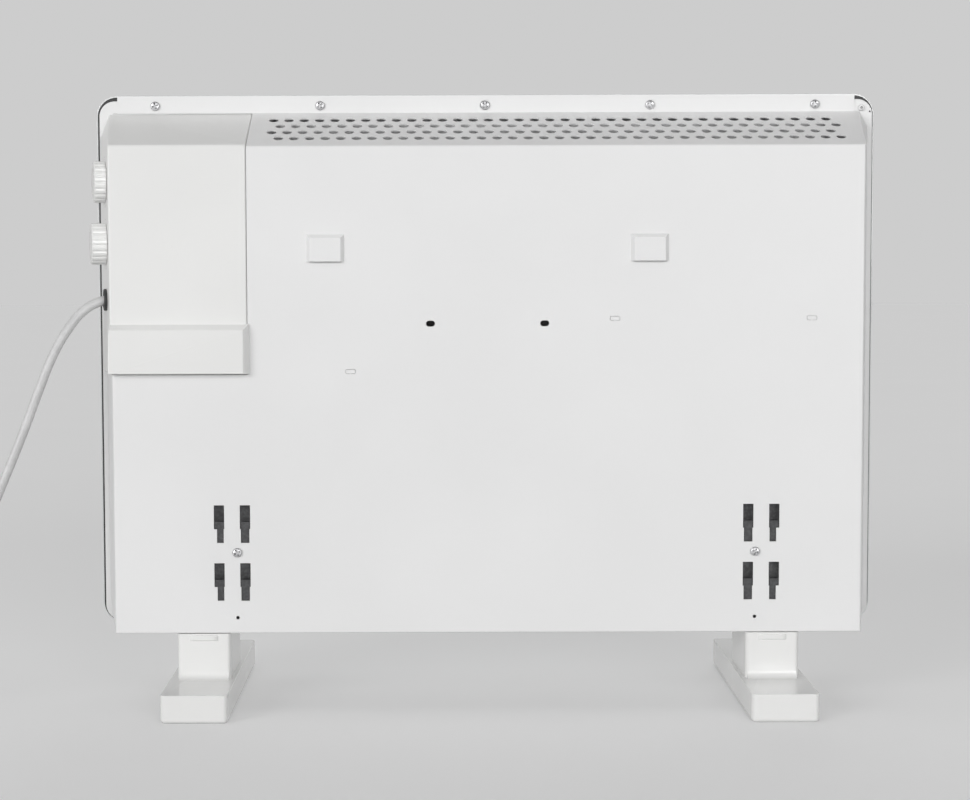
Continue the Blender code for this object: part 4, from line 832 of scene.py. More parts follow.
@dataclass
class RearCasing:
    """The one folded, punched and pressed sheet that closes the back."""

    finish: Finish = Finishes.STEEL
    sheet: float = 0.001
    rear_y: float = 0.0576
    front_y: float = -0.005
    half_width: float = 0.2965
    bottom: float = 0.0592
    slope_run: float = 0.0616
    slope_drop: float = 0.0296
    slope_top: float = 0.4750
    side_flare: float = 0.0135
    corner_flare: float = 0.0062
    side_top_drop: float = 0.013
    side_foot_rise: float = 0.022
    fold_radius: float = 0.0018
    fold_steps: int = 6
    flange_half_width: float = 0.299
    flange_height: float = 0.0134
    vent: float = 0.0079
    vent_sides: int = 20
    vent_pitch: float = 0.01235
    vent_grid: tuple[int, int] = (37, 4)
    vent_row_pitch: float = 0.01235
    vent_first_row: float = 0.0159
    vent_centre: float = -0.0544
    hole_sides: int = 20
    clip_hole: tuple[float, float, float, float] = (0.0450, 0.3057, 0.0070, 0.0046)
    pilot: Point = (0.0028, 0.0722)
    bridge_x: float = 0.1276
    bridge_top: float = 0.3761
    bridge_height: float = 0.0214
    bridge_widths: Point = (0.0298, 0.0240)
    bridge_rise: float = 0.0036
    bridge_round: Point = (0.24, 0.55)
    lances: tuple[Point, ...] = ((-0.1004, 0.3095), (-0.2554, 0.3094), (0.1082, 0.2681))
    lance: tuple[float, float, float] = (0.0074, 0.0030, 0.0004)
    lance_corner: float = 0.0005
    lance_slit: float = 0.00028
    lance_neck: float = 0.0016
    dimples: tuple[Point, ...] = ((0.2723, 0.0988), (0.1958, 0.2402), (0.2181, 0.2141),
                                  (-0.0156, 0.4026), (0.0088, 0.3266))
    dimple: Point = (0.0024, 0.00016)
    intake: tuple[float, float, float] = (0.033, 0.026, 0.006)
    intake_rows: Point = (0.014, 0.036)
    intake_columns: int = 11
    screw_hole: float = 0.0036
    screw_seat: Point = (0.0004, 0.0005)
    seat_sides: int = 28
    foot_screw_hole: float = 0.0046
    box_clear: Point = (0.1893, 0.2658)
    box_side: float = 0.32

    @property
    def slope(self) -> float:
        """The angle of the vented slope."""
        return math.atan2(self.slope_drop, self.slope_run)

    @property
    def crease(self) -> float:
        """The height where the rear face meets the slope."""
        return self.slope_top - self.slope_drop

    @property
    def inside_y(self) -> float:
        """The rear face's inner side."""
        return self.rear_y - self.sheet

    def section(self, y: float, inset: float, flared: bool = False) -> list[Place]:
        """The casing's outline at a depth.

        Args:
            y: The depth.
            inset: How far it is taken in.
            flared: Whether its corners are cut off.

        Returns:
            Its points on both sides.
        """
        share = (self.rear_y - y) / (self.rear_y - self.front_y)
        side = self.half_width + self.side_flare * share - inset
        corner = self.half_width + self.corner_flare * share - inset
        top = self.crease + (self.rear_y - y) * math.tan(self.slope) - inset / math.cos(self.slope)
        low = self.bottom + inset
        points = [(side, low + self.side_foot_rise * share),
                  (side, top - self.side_top_drop * share),
                  (corner, top), (self.half_width - inset, low)]
        return [(sx * x, y, z) for sx in (1, -1) for x, z in (points if flared else points[:2])]

    def shell(self, inset: float, front: float) -> Form:
        """The solid inside the casing's outer or inner surface, with its folds rounded."""
        radius = self.fold_radius - inset
        points = self.section(front, inset, flared=True)
        for c, s in quarter_arc(self.fold_steps):
            points += self.section(self.rear_y - inset - radius * (1 - s), inset + radius * (1 - c))
        return Form().hull(points)

    def slope_place(self) -> Matrix:
        """X along the slope, Y up it and Z out of it, from the middle of the crease."""
        up = Vector((0, -math.cos(self.slope), math.sin(self.slope)))
        out = Vector((0, math.sin(self.slope), math.cos(self.slope)))
        turn = Matrix((Vector((-1, 0, 0)), up, out)).transposed()
        return Matrix.Translation((0, self.rear_y, self.crease)) @ turn.to_4x4()

    def vents(self) -> Form:
        """The slope's staggered rows of round vents."""
        made = Form()
        columns, rows = self.vent_grid
        for row in range(rows):
            shift = self.vent_pitch / 4 * (1 if row % 2 else -1)
            for column in range(columns):
                x = self.vent_centre + shift + (column - (columns - 1) / 2) * self.vent_pitch
                up = self.vent_first_row + row * self.vent_row_pitch
                made.pins([(-x, up)], self.vent, self.vent_sides, Axis.Z, -self.sheet - BITE, BITE)
        return made.move(self.slope_place())

    def bridges(self, inset: float, low_y: float) -> Form:
        """The two pressed bridges' outer or inner shape, open at the bottom."""
        made = Form()
        outer, pad = self.bridge_widths
        top, drop = self.bridge_top - inset, (outer - pad) / 2
        bottom = self.bridge_top - self.bridge_height - (self.lance[2] if inset else 0)
        edge_y, pad_y = self.rear_y - inset, self.rear_y + self.bridge_rise - inset
        for sx in (-1, 1):
            points = []
            for c, s in quarter_arc(5):
                aside, dip = s * self.bridge_round[0], (1 - c) * self.bridge_round[1]
                wide = (outer / 2) * aside + (pad / 2) * (1 - aside) - inset
                points += [(sx * self.bridge_x + sign * wide, pad_y - self.bridge_rise * dip, z)
                           for sign in (-1, 1) for z in (bottom, top - drop + drop * aside)]
            points += [(sx * self.bridge_x + sign * (outer / 2 - inset), y, z)
                       for sign in (-1, 1) for y in (edge_y, low_y) for z in (bottom, top)]
            made.hull(points)
        return made

    def lanced_pads(self) -> Form:
        """The small half-sheared rectangles that stand proud of the rear face."""
        made = Form()
        width, height, rise = self.lance
        for place in self.lances:
            outline = rounded(width, height, self.lance_corner, 3, place)
            made.prism(outline, Axis.Y, self.inside_y, self.rear_y + rise)
        return made

    def lance_slits(self) -> Form:
        """The sheared slit round each of those rectangles."""
        made = Form()
        (width, height, _), gap = self.lance, self.lance_slit
        corner = self.lance_corner + gap
        for place in self.lances:
            outline = rounded(width + 2 * gap, height + 2 * gap, corner, 3, place)
            made.prism(outline, Axis.Y, self.inside_y - BITE, self.rear_y + BITE)
        return made

    def lance_necks(self) -> Form:
        """The short necks that hold those rectangles in the sheet."""
        made = Form()
        half, reach = self.lance_neck / 2, self.lance[1] / 2 + 2 * self.lance_slit
        for x, z in self.lances:
            made.prism(span(x - half, x + half, z - reach, z), Axis.Y, self.inside_y, self.rear_y)
        return made

    def weld_dimples(self) -> Form:
        """The faint round marks that spot welding leaves."""
        made = Form()
        radius, depth = self.dimple
        ball = (radius ** 2 + depth ** 2) / (2 * depth)
        reach = math.asin(radius / ball)
        turns = [reach * i / 5 for i in range(6)]
        arc = [(ball * math.sin(t), -ball * math.cos(t) + ball - depth) for t in turns]
        for x, z in self.dimples:
            bowl = Form().lathe([*arc, (radius, BITE), (0, BITE)], self.hole_sides)
            made.take(bowl.move(Matrix.Translation((x, self.rear_y, z)) @ BACKWARDS))
        return made

    def punched(self, slots: "WallSlots") -> Form:
        """Everything that is punched through the vertical rear face."""
        made = Form()
        low, high = self.inside_y - BITE, self.rear_y + BITE
        for outline in slots.outlines():
            made.prism(outline, Axis.Y, low, high)
        for x, z in slots.screws():
            made.pins([(x, z)], self.screw_hole, self.hole_sides, Axis.Y, low, high)
            made.pins([(x, self.pilot[1])], self.pilot[0], self.hole_sides, Axis.Y, low, high)
        x, z, width, height = self.clip_hole
        for sx in (-1, 1):
            made.prism(rounded(width, height, height / 2 - 1e-5, 8, (sx * x, z)), Axis.Y, low, high)
        return made

    def intakes(self) -> Form:
        """The air intake slots in the casing's floor."""
        made = Form()
        pitch, length, width = self.intake
        for column in range(self.intake_columns):
            for y in self.intake_rows:
                at = ((column - (self.intake_columns - 1) / 2) * pitch, y)
                made.prism(rounded(length, width, width * 0.45, 5, at), Axis.Z, self.bottom - BITE,
                           self.bottom + self.sheet + BITE)
        return made

    def screw_holes(self) -> Form:
        """The holes for the screws of the flange and of the feet."""
        made = Form()
        (room, depth), sides = self.screw_seat, self.hole_sides
        front, back = self.front_y, self.front_y + self.sheet
        for node in flange_screws():
            (low, high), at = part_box(node), [seen_middle(node, Axis.Y)]
            seat = (high.x - low.x + 2 * room, self.seat_sides)
            made.pins(at, self.screw_hole, sides, Axis.Y, front - BITE, back + BITE)
            made.pins(at, *seat, Axis.Y, back - depth, back + BITE)
        nodes = [*foot_screws("left"), *foot_screws("right")]
        places = [seen_middle(node, Axis.Z) for node in nodes]
        low, high = self.bottom - BITE, self.bottom + self.sheet + BITE
        return made.pins(places, self.foot_screw_hole, sides, Axis.Z, low, high)

    def build(self) -> None:
        """Fold, press and punch the sheet."""
        casing = self.shell(0, self.front_y).cut(self.shell(self.sheet, self.front_y - BITE))
        wide, top = self.flange_half_width, self.slope_top + self.flange_height
        flange = span(-wide, wide, self.slope_top - self.sheet / 2, top)
        casing.add(Form().prism(flange, Axis.Y, self.front_y, self.front_y + self.sheet))
        casing.add(self.bridges(0, self.rear_y - self.sheet / 2))
        casing.cut(self.bridges(self.sheet, self.inside_y - BITE))
        casing.cut(self.lance_slits()).add(self.lance_necks()).add(self.lanced_pads())
        for tool in (self.weld_dimples(), self.vents(), self.punched(WallSlots()), self.intakes(),
                     self.screw_holes()):
            casing.cut(tool)
        x, z = self.box_clear
        step_y, step_z = self.front_y + self.sheet + GAP, self.slope_top - GAP
        front, back, high = self.front_y - BITE, self.rear_y + 3 * BITE, self.slope_top + BITE
        notch = [(front, z), (back, z), (back, high), (step_y, high), (step_y, step_z),
                 (front, step_z)]
        casing.cut(Form().prism(notch, Axis.X, x, self.box_side))
        build_piece("folded_casing", casing, self.finish, replaced=["rear_casing"])


@dataclass
class WallSlots:
    """The stepped slots that wall hooks enter, in two groups of four."""

    groups: Point = (0.2030, -0.2167)
    wide: Point = (0.0082, 0.0191)
    narrow: dict[str, float] = field(default_factory=lambda: {"outer": 0.0053, "inner": 0.0068})
    shift: dict[str, float] = field(default_factory=lambda: {"outer": 0.0010, "inner": 0.0})
    narrow_height: float = 0.0110
    column_pitch: float = 0.0206
    row_pitch: float = 0.0463
    top: float = 0.1622
    screw_shift: Point = (-0.0040, 0.0048)
    screw_z: float = 0.1244
    tongue_clear: float = 0.0004
    tongue_drop: float = 0.0134
    tongue_rise: float = 0.0005

    def outlines(self, inset: float = 0.0, drop: float = 0.0) -> list[list[Point]]:
        """Each slot's outline: a wide part with a narrow part below it.

        Args:
            inset: How far it is taken in at the sides and the bottom.
            drop: How far its top is lowered.

        Returns:
            The outlines, those of the left group first.
        """
        made = []
        for group_x in self.groups:
            inward = -1 if group_x > 0 else 1
            for column, reach in (("outer", -1), ("inner", 1)):
                x = group_x + inward * reach * self.column_pitch / 2
                low_x = x + inward * self.shift[column]
                wide, narrow = self.wide[0] / 2 - inset, self.narrow[column] / 2 - inset
                for row in range(2):
                    high = self.top - row * self.row_pitch
                    middle = high - self.wide[1] + inset
                    bottom, top = middle - self.narrow_height, high - drop
                    made.append([(x - wide, top), (x - wide, middle), (low_x - narrow, middle),
                                 (low_x - narrow, bottom), (low_x + narrow, bottom),
                                 (low_x + narrow, middle), (x + wide, middle), (x + wide, top)])
        return made

    def screws(self) -> list[Point]:
        """Where the screw between each group's slots sits."""
        return [(x + shift, self.screw_z) for x, shift in zip(self.groups, self.screw_shift)]

    def build(self) -> None:
        """Raise the hook plates' tongues in the lower part of the slots."""
        outlines = self.outlines(self.tongue_clear, self.tongue_drop)
        for side, mine in (("left", outlines[:4]), ("right", outlines[4:])):
            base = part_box(f"hook_plate_{side}")[1].y
            tongues = Form()
            for outline in mine:
                tongues.prism(outline, Axis.Y, base, base + self.tongue_rise)
            # the tongues take a darker copy of the plate's finish, which is painted shade
            build_piece(f"hook_tongues_{side}", tongues, Finishes.TONGUE_IN_PAINTED_SHADE)


# ---- screws --------------------------------------------------------------------------------------

@dataclass
class Screws:
    """The pan-head screws with their crossed recesses."""

    finish: Finish = Finishes.ZINC
    height: float = 0.0021
    rim: float = 0.22
    crown: float = 0.55
    shank: float = 0.0030
    recess: float = 0.72
    recess_width: float = 0.20
    recess_depth: float = 0.0017
    recess_taper: float = 0.80
    socket: float = 0.0010
    sides: int = 28

    def head(self, diameter: float, shank: float, length: float, painted: bool) -> Form:
        """A screw along Z with its head's seat at zero.

        Args:
            diameter: Of the head.
            shank: Diameter of the shank.
            length: Of the shank.
            painted: Whether its head has a small round socket in place of a cross.

        Returns:
            The screw.
        """
        radius, low = diameter / 2, self.height * self.rim
        dome = [(radius * math.sin(t), low + (self.height - low) * math.cos(t) ** self.crown)
                for t in (math.pi / 2 * i / 10 for i in range(10))]
        profile = [*dome, (radius, low), (radius, 0), (shank / 2, 0), (shank / 2, -length),
                   (0, -length)]
        screw = Form().lathe(profile, self.sides)
        half, thin = radius * self.recess, radius * self.recess_width
        low_z, high_z = self.height - self.recess_depth, self.height + BITE
        if painted:
            return screw.cut(Form().prism(circle(self.socket, 16), Axis.Z, low_z, high_z))
        levels = ((self.recess_taper, low_z), (1.0, self.height), (1.0, high_z))
        corners = [(sx * half * share, sy * thin * share, z)
                   for sx in (-1, 1) for sy in (-1, 1) for share, z in levels]
        for turn in (0, math.pi / 2):
            screw.cut(Form().hull(corners).move(Matrix.Rotation(turn, 4, "Z")))
        return screw

    def build(self) -> None:
        """Replace each screw that shows."""
        turns = {node: 17 * i for i, node in enumerate(flange_screws(), 1)}
        turns |= {"corner_screw": 40, "hook_screw_left": 25, "hook_screw_right": 70}
        for node, turn in turns.items():
            (low, high), (x, z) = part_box(node), seen_middle(node, Axis.Y)
            seat = Matrix.Translation((x, high.y - self.height, z))
            length = high.y - self.height - low.y
            painted = node == "corner_screw"
            shape = self.head(high.x - low.x, self.shank, length, painted)
            shape.move(seat @ BACKWARDS @ Matrix.Rotation(math.radians(turn), 4, "Z"))
            finish = Finishes.PAINTED if painted else self.finish
            build_piece(f"{node}_cross", shape, finish, replaced=[node])
        for side in ("left", "right"):
            for node in foot_screws(side):
                dress_node(node, self.finish)


# ---- front panel ---------------------------------------------------------------------------------

@dataclass
class FrontPanel:
    """The glass, the gasket that holds it and the channel frame behind."""

    glass: Finish = Finishes.GLASS
    seal: Finish = Finishes.RUBBER
    steel: Finish = Finishes.STEEL
    corner_steps: int = 20
    glass_corner: float = 0.017
    glass_edge: float = 0.0007
    gasket_width: float = 0.012
    gasket_corners: Point = (0.0155, 0.004)
    frame_corner: float = 0.0124
    wall: float = 0.0012
    lip: float = 0.018
    fold: float = 0.0010
    relief: tuple[float, float, float] = (0.0014, 0.0021, 0.0101)
    screw_hole: float = 0.0036

    def plate(self, node: str, radius: float, inset: float = 0.0, trim: float = 0.0) -> Form:
        """A plate with round corners that fills a node's box.

        Args:
            node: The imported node.
            radius: Of its corners.
            inset: How far its outline is taken in.
            trim: How far each of its faces is taken in.

        Returns:
            The plate.
        """
        low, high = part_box(node)
        centre = ((low.x + high.x) / 2, (low.z + high.z) / 2)
        width, height = high.x - low.x - 2 * inset, high.z - low.z - 2 * inset
        outline = rounded(width, height, radius, self.corner_steps, centre)
        return Form().prism(outline, Axis.Y, low.y + trim, high.y - trim)

    def eased(self, plate: Form, edge: float, segments: int) -> Form:
        """A plate with both rims rounded."""
        return plate.tidy().bevel(edge, segments,
                                  lambda e: abs(e.verts[0].co.y - e.verts[1].co.y) < SAME)

    def frame_holes(self) -> Form:
        """The screw holes in the frame's back, and the small relief hole by its upper corner."""
        low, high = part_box("front_frame")
        along = (Axis.Y, high.y - self.wall - BITE, high.y + BITE)
        places = [seen_middle(node, Axis.Y) for node in (*flange_screws(), "corner_screw")]
        size, aside, down = self.relief
        return (Form().pins(places, self.screw_hole, 24, *along)
                .pins([(low.x + aside, high.z - down)], size, 16, *along))

    def build(self) -> None:
        """Cut the glass, press the gasket and fold the frame."""
        glass = self.eased(self.plate("front_glass", self.glass_corner), self.glass_edge, 3)
        build_piece("glass_pane", glass, self.glass, replaced=["front_glass"])
        outer, inner = self.gasket_corners
        gasket = self.plate("glass_gasket", outer)
        gasket.cut(self.plate("glass_gasket", inner, self.gasket_width, -BITE))
        build_piece("gasket_ring", gasket, self.seal, replaced=["glass_gasket"])
        node, corner = "front_frame", self.frame_corner
        ring = self.eased(self.plate(node, corner), self.fold, 5)
        ring.cut(self.plate(node, corner / 2, self.lip, -BITE))
        ring.cut(self.plate(node, corner - self.wall, self.wall, self.wall)).cut(self.frame_holes())
        build_piece("channel_frame", ring, self.steel, replaced=[node])


# ---- control box ---------------------------------------------------------------------------------

@dataclass
class ControlBox:
    """The moulded cover over the controls, with its raised lower pad."""

    finish: Finish = Finishes.PLASTIC
    wall: float = 0.0025
    back: float = 0.0590
    front: float = -0.005
    outer_x: float = 0.2978
    width: float = 0.1082
    bottom: float = 0.2667
    top: Point = (0.4461, 0.4744)
    flare: float = 0.0157
    corner_flare: float = 0.0075
    side_top_drop: float = 0.020
    edge: float = 0.0015
    bump_top: float = 0.3062
    bump_rise: float = 0.0072
    bump_chamfer: float = 0.0048
    bump_side: float = 0.0040
    bump_lip: float = 0.0016
    bump_edge: float = 0.0009
    gate: tuple[float, float, float, float] = (0.2560, 0.3566, 0.0042, 0.0003)
    gate_corner: float = 0.0004
    wire_hole: tuple[float, float, float] = (0.020, 0.296, 0.008)
    shaft_hole: float = 0.0072
    gland_hole: float = 0.0126
    gland_z: float = 0.3248
    control_y: float = 0.0361

    @property
    def inner_x(self) -> float:
        """The side beside the casing's vents."""
        return self.outer_x - self.width

    @property
    def tilt(self) -> float:
        """How far the outer wall leans from square."""
        return math.atan2(self.flare, self.back - self.front)

    def wall_place(self, z: float) -> Matrix:
        """A place on the slanted outer wall at a height, with Z out of the wall."""
        x = self.outer_x + (self.back - self.control_y) * math.tan(self.tilt)
        turn = Matrix.Rotation(self.tilt, 4, "Z") @ Matrix.Rotation(math.pi / 2, 4, "Y")
        return Matrix.Translation((x, self.control_y, z)) @ turn

    def section(self, y: float, inset: float) -> list[Place]:
        """The box's five-cornered outline at a depth, taken in by an inset."""
        share = (self.back - y) / (self.back - self.front)
        side = self.outer_x + self.flare * share - inset
        corner = self.outer_x + self.corner_flare * share - inset
        top = self.top[0] + (self.top[1] - self.top[0]) * share - inset
        low, inner = self.bottom + inset, self.inner_x + inset
        return [(inner, y, low), (inner, y, top), (corner, y, top),
                (side, y, top - self.side_top_drop * share), (side, y, low)]

    def bump(self, inset: float, base_y: float) -> Form:
        """The raised pad along the box's lower end."""
        top, bottom = self.bump_top - inset, self.bottom + inset
        inner, outer = self.inner_x + inset, self.outer_x - inset
        rise_y = self.back + self.bump_rise - inset
        wide = inner - (0 if inset else self.bump_lip)
        narrow = inner + self.bump_side - self.bump_lip
        base = [(x, base_y, z) for x in (wide, outer) for z in (top, bottom)]
        proud = [(x, rise_y, z) for x in (narrow, outer) for z in (top - self.bump_chamfer, bottom)]
        made = Form().hull(base + proud).tidy()
        if inset:
            return made
        return made.bevel(self.bump_edge, 4, lambda e: min(v.co.y for v in e.verts) > rise_y - SAME)

    def build(self) -> None:
        """Mould the box and pierce it."""
        box = Form().hull(self.section(self.back, 0) + self.section(self.front, 0)).tidy()
        box.bevel(self.edge, 5, lambda e: max(v.co.y for v in e.verts) > self.front + SAME)
        box.add(self.bump(0, self.back - GAP * 4))
        box.cut(Form().hull(self.section(self.back - self.wall, self.wall)
                            + self.section(self.front - BITE, self.wall)))
        box.cut(self.bump(self.wall, self.back - self.wall - BITE))
        joints = {joint["name"]: joint for joint in frame["joints"]}
        heights = [(joints[f"{name}_turn"]["pos_m"][2], self.shaft_hole)
                   for name in ("thermostat", "selector")]
        for z, size in (*heights, (self.gland_z, self.gland_hole)):
            hole = Form().prism(circle(size / 2, 32), Axis.Z, -self.wall - 2 * BITE, 2 * BITE)
            box.cut(hole.move(self.wall_place(z)))
        x, z, size, depth = self.gate
        mark = rounded(size, size, self.gate_corner, 3, (x, z))
        box.cut(Form().prism(mark, Axis.Y, self.back - depth, self.back + BITE))
        y, z, size = self.wire_hole
        box.cut(Form().pins([(y, z)], size, 24, Axis.X, self.inner_x - BITE,
                            self.inner_x + self.wall + BITE))
        build_piece("control_cover", box, self.finish, replaced=["control_box"])


# ---- knobs ---------------------------------------------------------------------------------------

@dataclass
class TurnKnob:
    """A ribbed knob on the slanted wall, with its printed scale beside it."""

    name: str
    body: Body
    place: Matrix
    height: float
    ticks: int
    sweep: float
    finish: Finish = Finishes.KNOB
    ink: Finish = Finishes.INK
    radius: float = 0.0164
    flutes: int = 20
    flute_depth: float = 0.0007
    flute_shape: tuple[Point, ...] = ((0.0, 0.25), (0.1, 0), (0.3, 0), (0.5, 0), (0.6, 0.25),
                                      (0.72, 0.85), (0.8, 1), (0.88, 0.85))
    rounding: float = 0.0016
    standoff: float = 0.0003
    bore: Point = (0.0033, 0.006)
    dish: Point = (0.0112, 0.0005)
    dish_floor: float = 0.92
    dish_over: float = 0.0001
    pointer_size: tuple[float, float, float] = (0.0072, 0.0012, 0.0014)
    pointer_x: float = -0.0082
    pointer_corner: float = 0.0005
    scale_radius: float = 0.0196
    tick: Point = (0.0006, 0.0016)
    tick_growth: Point = (0.4, 0.6)
    ink_depth: float = 0.00006

    def outline(self) -> list[Point]:
        """A circle with a soft groove between each pair of ribs."""
        points = []
        for flute in range(self.flutes):
            for share, depth in self.flute_shape:
                turn = 2 * math.pi * (flute + share) / self.flutes
                reach = self.radius - depth * self.flute_depth
                points.append((reach * math.cos(turn), reach * math.sin(turn)))
        return points

    def cap(self) -> Form:
        """The knob along Z, standing off the wall."""
        knob = Form()
        face = knob.outline(self.outline(), Axis.Z, self.standoff)
        face = knob.extrude(face, Vector((0, 0, self.height - self.standoff - self.rounding)))
        levels = quarter_arc(4)
        for (_, s0), (c1, s1) in zip(levels, levels[1:]):
            face = knob.extrude(face, Vector((0, 0, self.rounding * (s1 - s0))))
            target = self.radius - self.rounding * (1 - c1)
            for vert in face.verts:
                flat = Vector((vert.co.x, vert.co.y, 0))
                reach = target if s1 > 0.99 else min(flat.length, target)
                vert.co.x, vert.co.y = flat.normalized().xy * reach
        return knob

    def pointer(self) -> Form:
        """The groove in the face that shows where the knob points."""
        length, width, depth = self.pointer_size
        outline = rounded(length, width, self.pointer_corner, 4, (self.pointer_x, 0.0))
        return Form().prism(outline, Axis.Z, self.height - depth, self.height + BITE)

    def marks(self) -> Form:
        """The printed ticks round the knob, longer towards full."""
        made = Form()
        (width, length), (least, growth) = self.tick, self.tick_growth
        for i in range(self.ticks):
            turn = math.pi + math.radians(self.sweep) * i / (self.ticks - 1)
            grown = length * (least + growth * i / (self.ticks - 1))
            outline = rounded(grown, width, width * 0.45, 3, (self.scale_radius, 0))
            tick = Form().prism(outline, Axis.Z, 0, self.ink_depth)
            made.take(tick.move(Matrix.Rotation(turn, 4, "Z")))
        return made.move(self.place)

    def build(self) -> None:
        """Mould the knob, print its scale and dress its shaft."""
        knob = self.cap()
        (radius, depth), high = self.dish, self.height + BITE
        low, edge = self.height - depth, self.height + self.dish_over
        knob.cut(Form().lathe([(0, low), (radius * self.dish_floor, low), (radius, edge),
                               (radius, high), (0, high)], 48))
        knob.cut(self.pointer())
        bore, deep = self.bore
        knob.cut(Form().prism(circle(bore, 24), Axis.Z, self.standoff - BITE, self.standoff + deep))
        build_piece(f"{self.name}_grip", knob.move(self.place), self.finish, self.body,
                    [f"{self.name}_knob"], sharp=34)
        build_piece(f"{self.name}_scale", self.marks(), self.ink)
        dress_node(f"{self.name}_shaft", Finishes.ZINC)


# ---- mains lead ----------------------------------------------------------------------------------

@dataclass
class MainsLead:
    """The gland, the lead down to the floor, its tied coil and its plug."""

    gland_place: Matrix
    cord: Finish = Finishes.CORD
    rubber: Finish = Finishes.RUBBER
    black: Finish = Finishes.BLACK
    tie: Finish = Finishes.TIE
    diameter: float = 0.0076
    length: float = 1.5
    lay: float = 0.0082
    route: tuple[Place, ...] = (
        (0.312, 0.0385, 0.322), (0.322, 0.041, 0.3155), (0.3315, 0.044, 0.304),
        (0.344, 0.047, 0.283), (0.356, 0.049, 0.254), (0.368, 0.051, 0.222),
        (0.389, 0.051, 0.172), (0.411, 0.053, 0.121), (0.431, 0.056, 0.071),
        (0.442, 0.057, 0.043), (0.451, 0.0575, 0.0235), (0.461, 0.0578, 0.0115),
        (0.474, 0.058, 0.0055), (0.4887, 0.0581, 0.0041))
    slack: float = 0.018
    coil_centre: Point = (0.525, 0.0079)
    coil_outer: float = 0.0502
    coil_turns: int = 2
    turn_points: int = 15
    climb: float = 1.6
    tail: float = 0.036
    gland_radius: float = 0.0087
    gland_proud: float = 0.0024
    gland_neck: float = 0.0060
    gland_tail: float = 0.018
    gland_edge: float = 0.0008
    gland_room: float = 0.0004
    gland_floor: float = -0.0009
    gland_ring: tuple[Point, ...] = ((0.0011, 0.0), (0.0014, 0.0004), (0.0020, 0.0004),
                                     (0.0023, 0.0))
    gland_ribs: int = 4
    rib_first: Point = (0.0009, 0.003)
    rib_pitch: Point = (0.0003, 0.0035)
    rib_shape: tuple[Point, ...] = ((0.0, 0.0), (0.0008, 0.0006), (0.0008, 0.0018),
                                    (0.0003, 0.0024))
    gland_taper: float = 0.0011
    box_wall: float = 0.0025
    tie_width: float = 0.007
    tie_outside: tuple[float, float, float, float] = (0.0022, 0.0010, 0.0030, 0.0005)
    tie_inside: tuple[float, float, float, float] = (0.0006, -0.0002, 0.0026, 0.00035)
    buckle: tuple[float, float, float] = (0.0052, 0.0036, 0.0009)
    buckle_place: Point = (0.0018, 0.0010)
    plug_radius: float = 0.018
    plug_length: float = 0.034
    plug_tail: float = 0.022
    plug_rim: float = 0.010
    plug_waist: tuple[Point, ...] = ((0.72, 0.12), (0.90, 0.45))
    plug_edge: float = 0.001
    plug_face: tuple[float, float, float] = (0.86, 0.84, 0.0006)
    plug_notch: tuple[float, float, float] = (0.0040, 0.0052, 0.0012)
    plug_gap: float = 0.0009
    sleeve: float = 0.0015
    grip_grooves: int = 5
    grip_first: Point = (0.003, 0.005)
    grip_depth: Point = (0.0011, 0.0004)

    def gland(self) -> None:
        """The strain relief: a collar outside the wall, a neck through it and a tapered tail."""
        room, edge = self.diameter / 2 + self.gland_room, self.gland_edge
        inside, proud, taper = -self.box_wall - GAP, self.gland_proud, self.gland_taper
        lip = [(2 * room - r, z) for r, z in round_rim(room, proud, edge * 0.6, 4)]
        ring = [(room + out, proud - down) for out, down in self.gland_ring]
        rim = round_rim(self.gland_radius, proud, edge, 4)[::-1]
        profile = [(0, self.gland_floor), (room, self.gland_floor), *lip, *ring, *rim,
                   (self.gland_radius, GAP), (self.gland_neck, GAP), (self.gland_neck, inside),
                   (self.gland_neck + taper, inside - taper)]
        for i in range(self.gland_ribs):
            r = self.gland_neck + self.rib_first[0] - i * self.rib_pitch[0]
            z = inside - self.rib_first[1] - i * self.rib_pitch[1]
            profile += [(r - inward, z - down) for inward, down in self.rib_shape]
        profile += [(room + taper, inside - self.gland_tail), (0, inside - self.gland_tail)]
        made = Form().lathe(profile, 40).move(self.gland_place)
        build_piece("gland_bush", made, self.rubber, replaced=["cable_gland"], sharp=40)

    def spiral(self) -> list[Place]:
        """The coil's turns: inwards on the floor, up to the second layer and outwards again."""
        made = []
        (cx, cy), per = self.coil_centre, 2 * math.pi
        half = self.coil_turns * per
        steps = self.turn_points * self.coil_turns * 2
        for i in range(1, steps):
            t = 2 * half * i / steps
            r = self.coil_outer - self.lay * min(t, 2 * half - t) / per
            rise = min(max((t - half) / self.climb + 0.5, 0.0), 1.0)
            z = self.lay / 2 + self.lay * (3 * rise ** 2 - 2 * rise ** 3)
            made.append((cx + r * math.sin(t), cy + r * math.cos(t), z))
        return made

    def points(self) -> list[Place]:
        """The whole line of the lead, from inside the gland to the plug."""
        (cx, cy), low = self.coil_centre, self.lay / 2
        y, high = cy + self.coil_outer, self.lay * 1.5
        start = self.gland_place @ Vector((0, 0, 0.0002))
        return [tuple(start), *self.route, (cx - self.slack, y, low), (cx, y, low), *self.spiral(),
                (cx, y, high), (cx + self.slack, y, high), (cx + self.tail, y, high)]

    def lead(self) -> bpy.types.Object:
        """The lead itself, as one smooth curve."""
        data = bpy.data.curves.new("mains_lead", "CURVE")
        data.dimensions = "3D"
        data.resolution_u = data.render_resolution_u = 4
        data.bevel_depth = self.diameter / 2
        data.bevel_resolution = 5
        data.use_fill_caps = True
        spline = data.splines.new("BEZIER")
        points = self.points()
        spline.bezier_points.add(len(points) - 1)
        for spot, point in zip(spline.bezier_points, points):
            spot.co = point
            spot.handle_left_type = spot.handle_right_type = "AUTO"
        made = bpy.data.objects.new("mains_lead", data)
        bpy.context.scene.collection.objects.link(made)
        data.materials.append(self.cord.material())
        return made

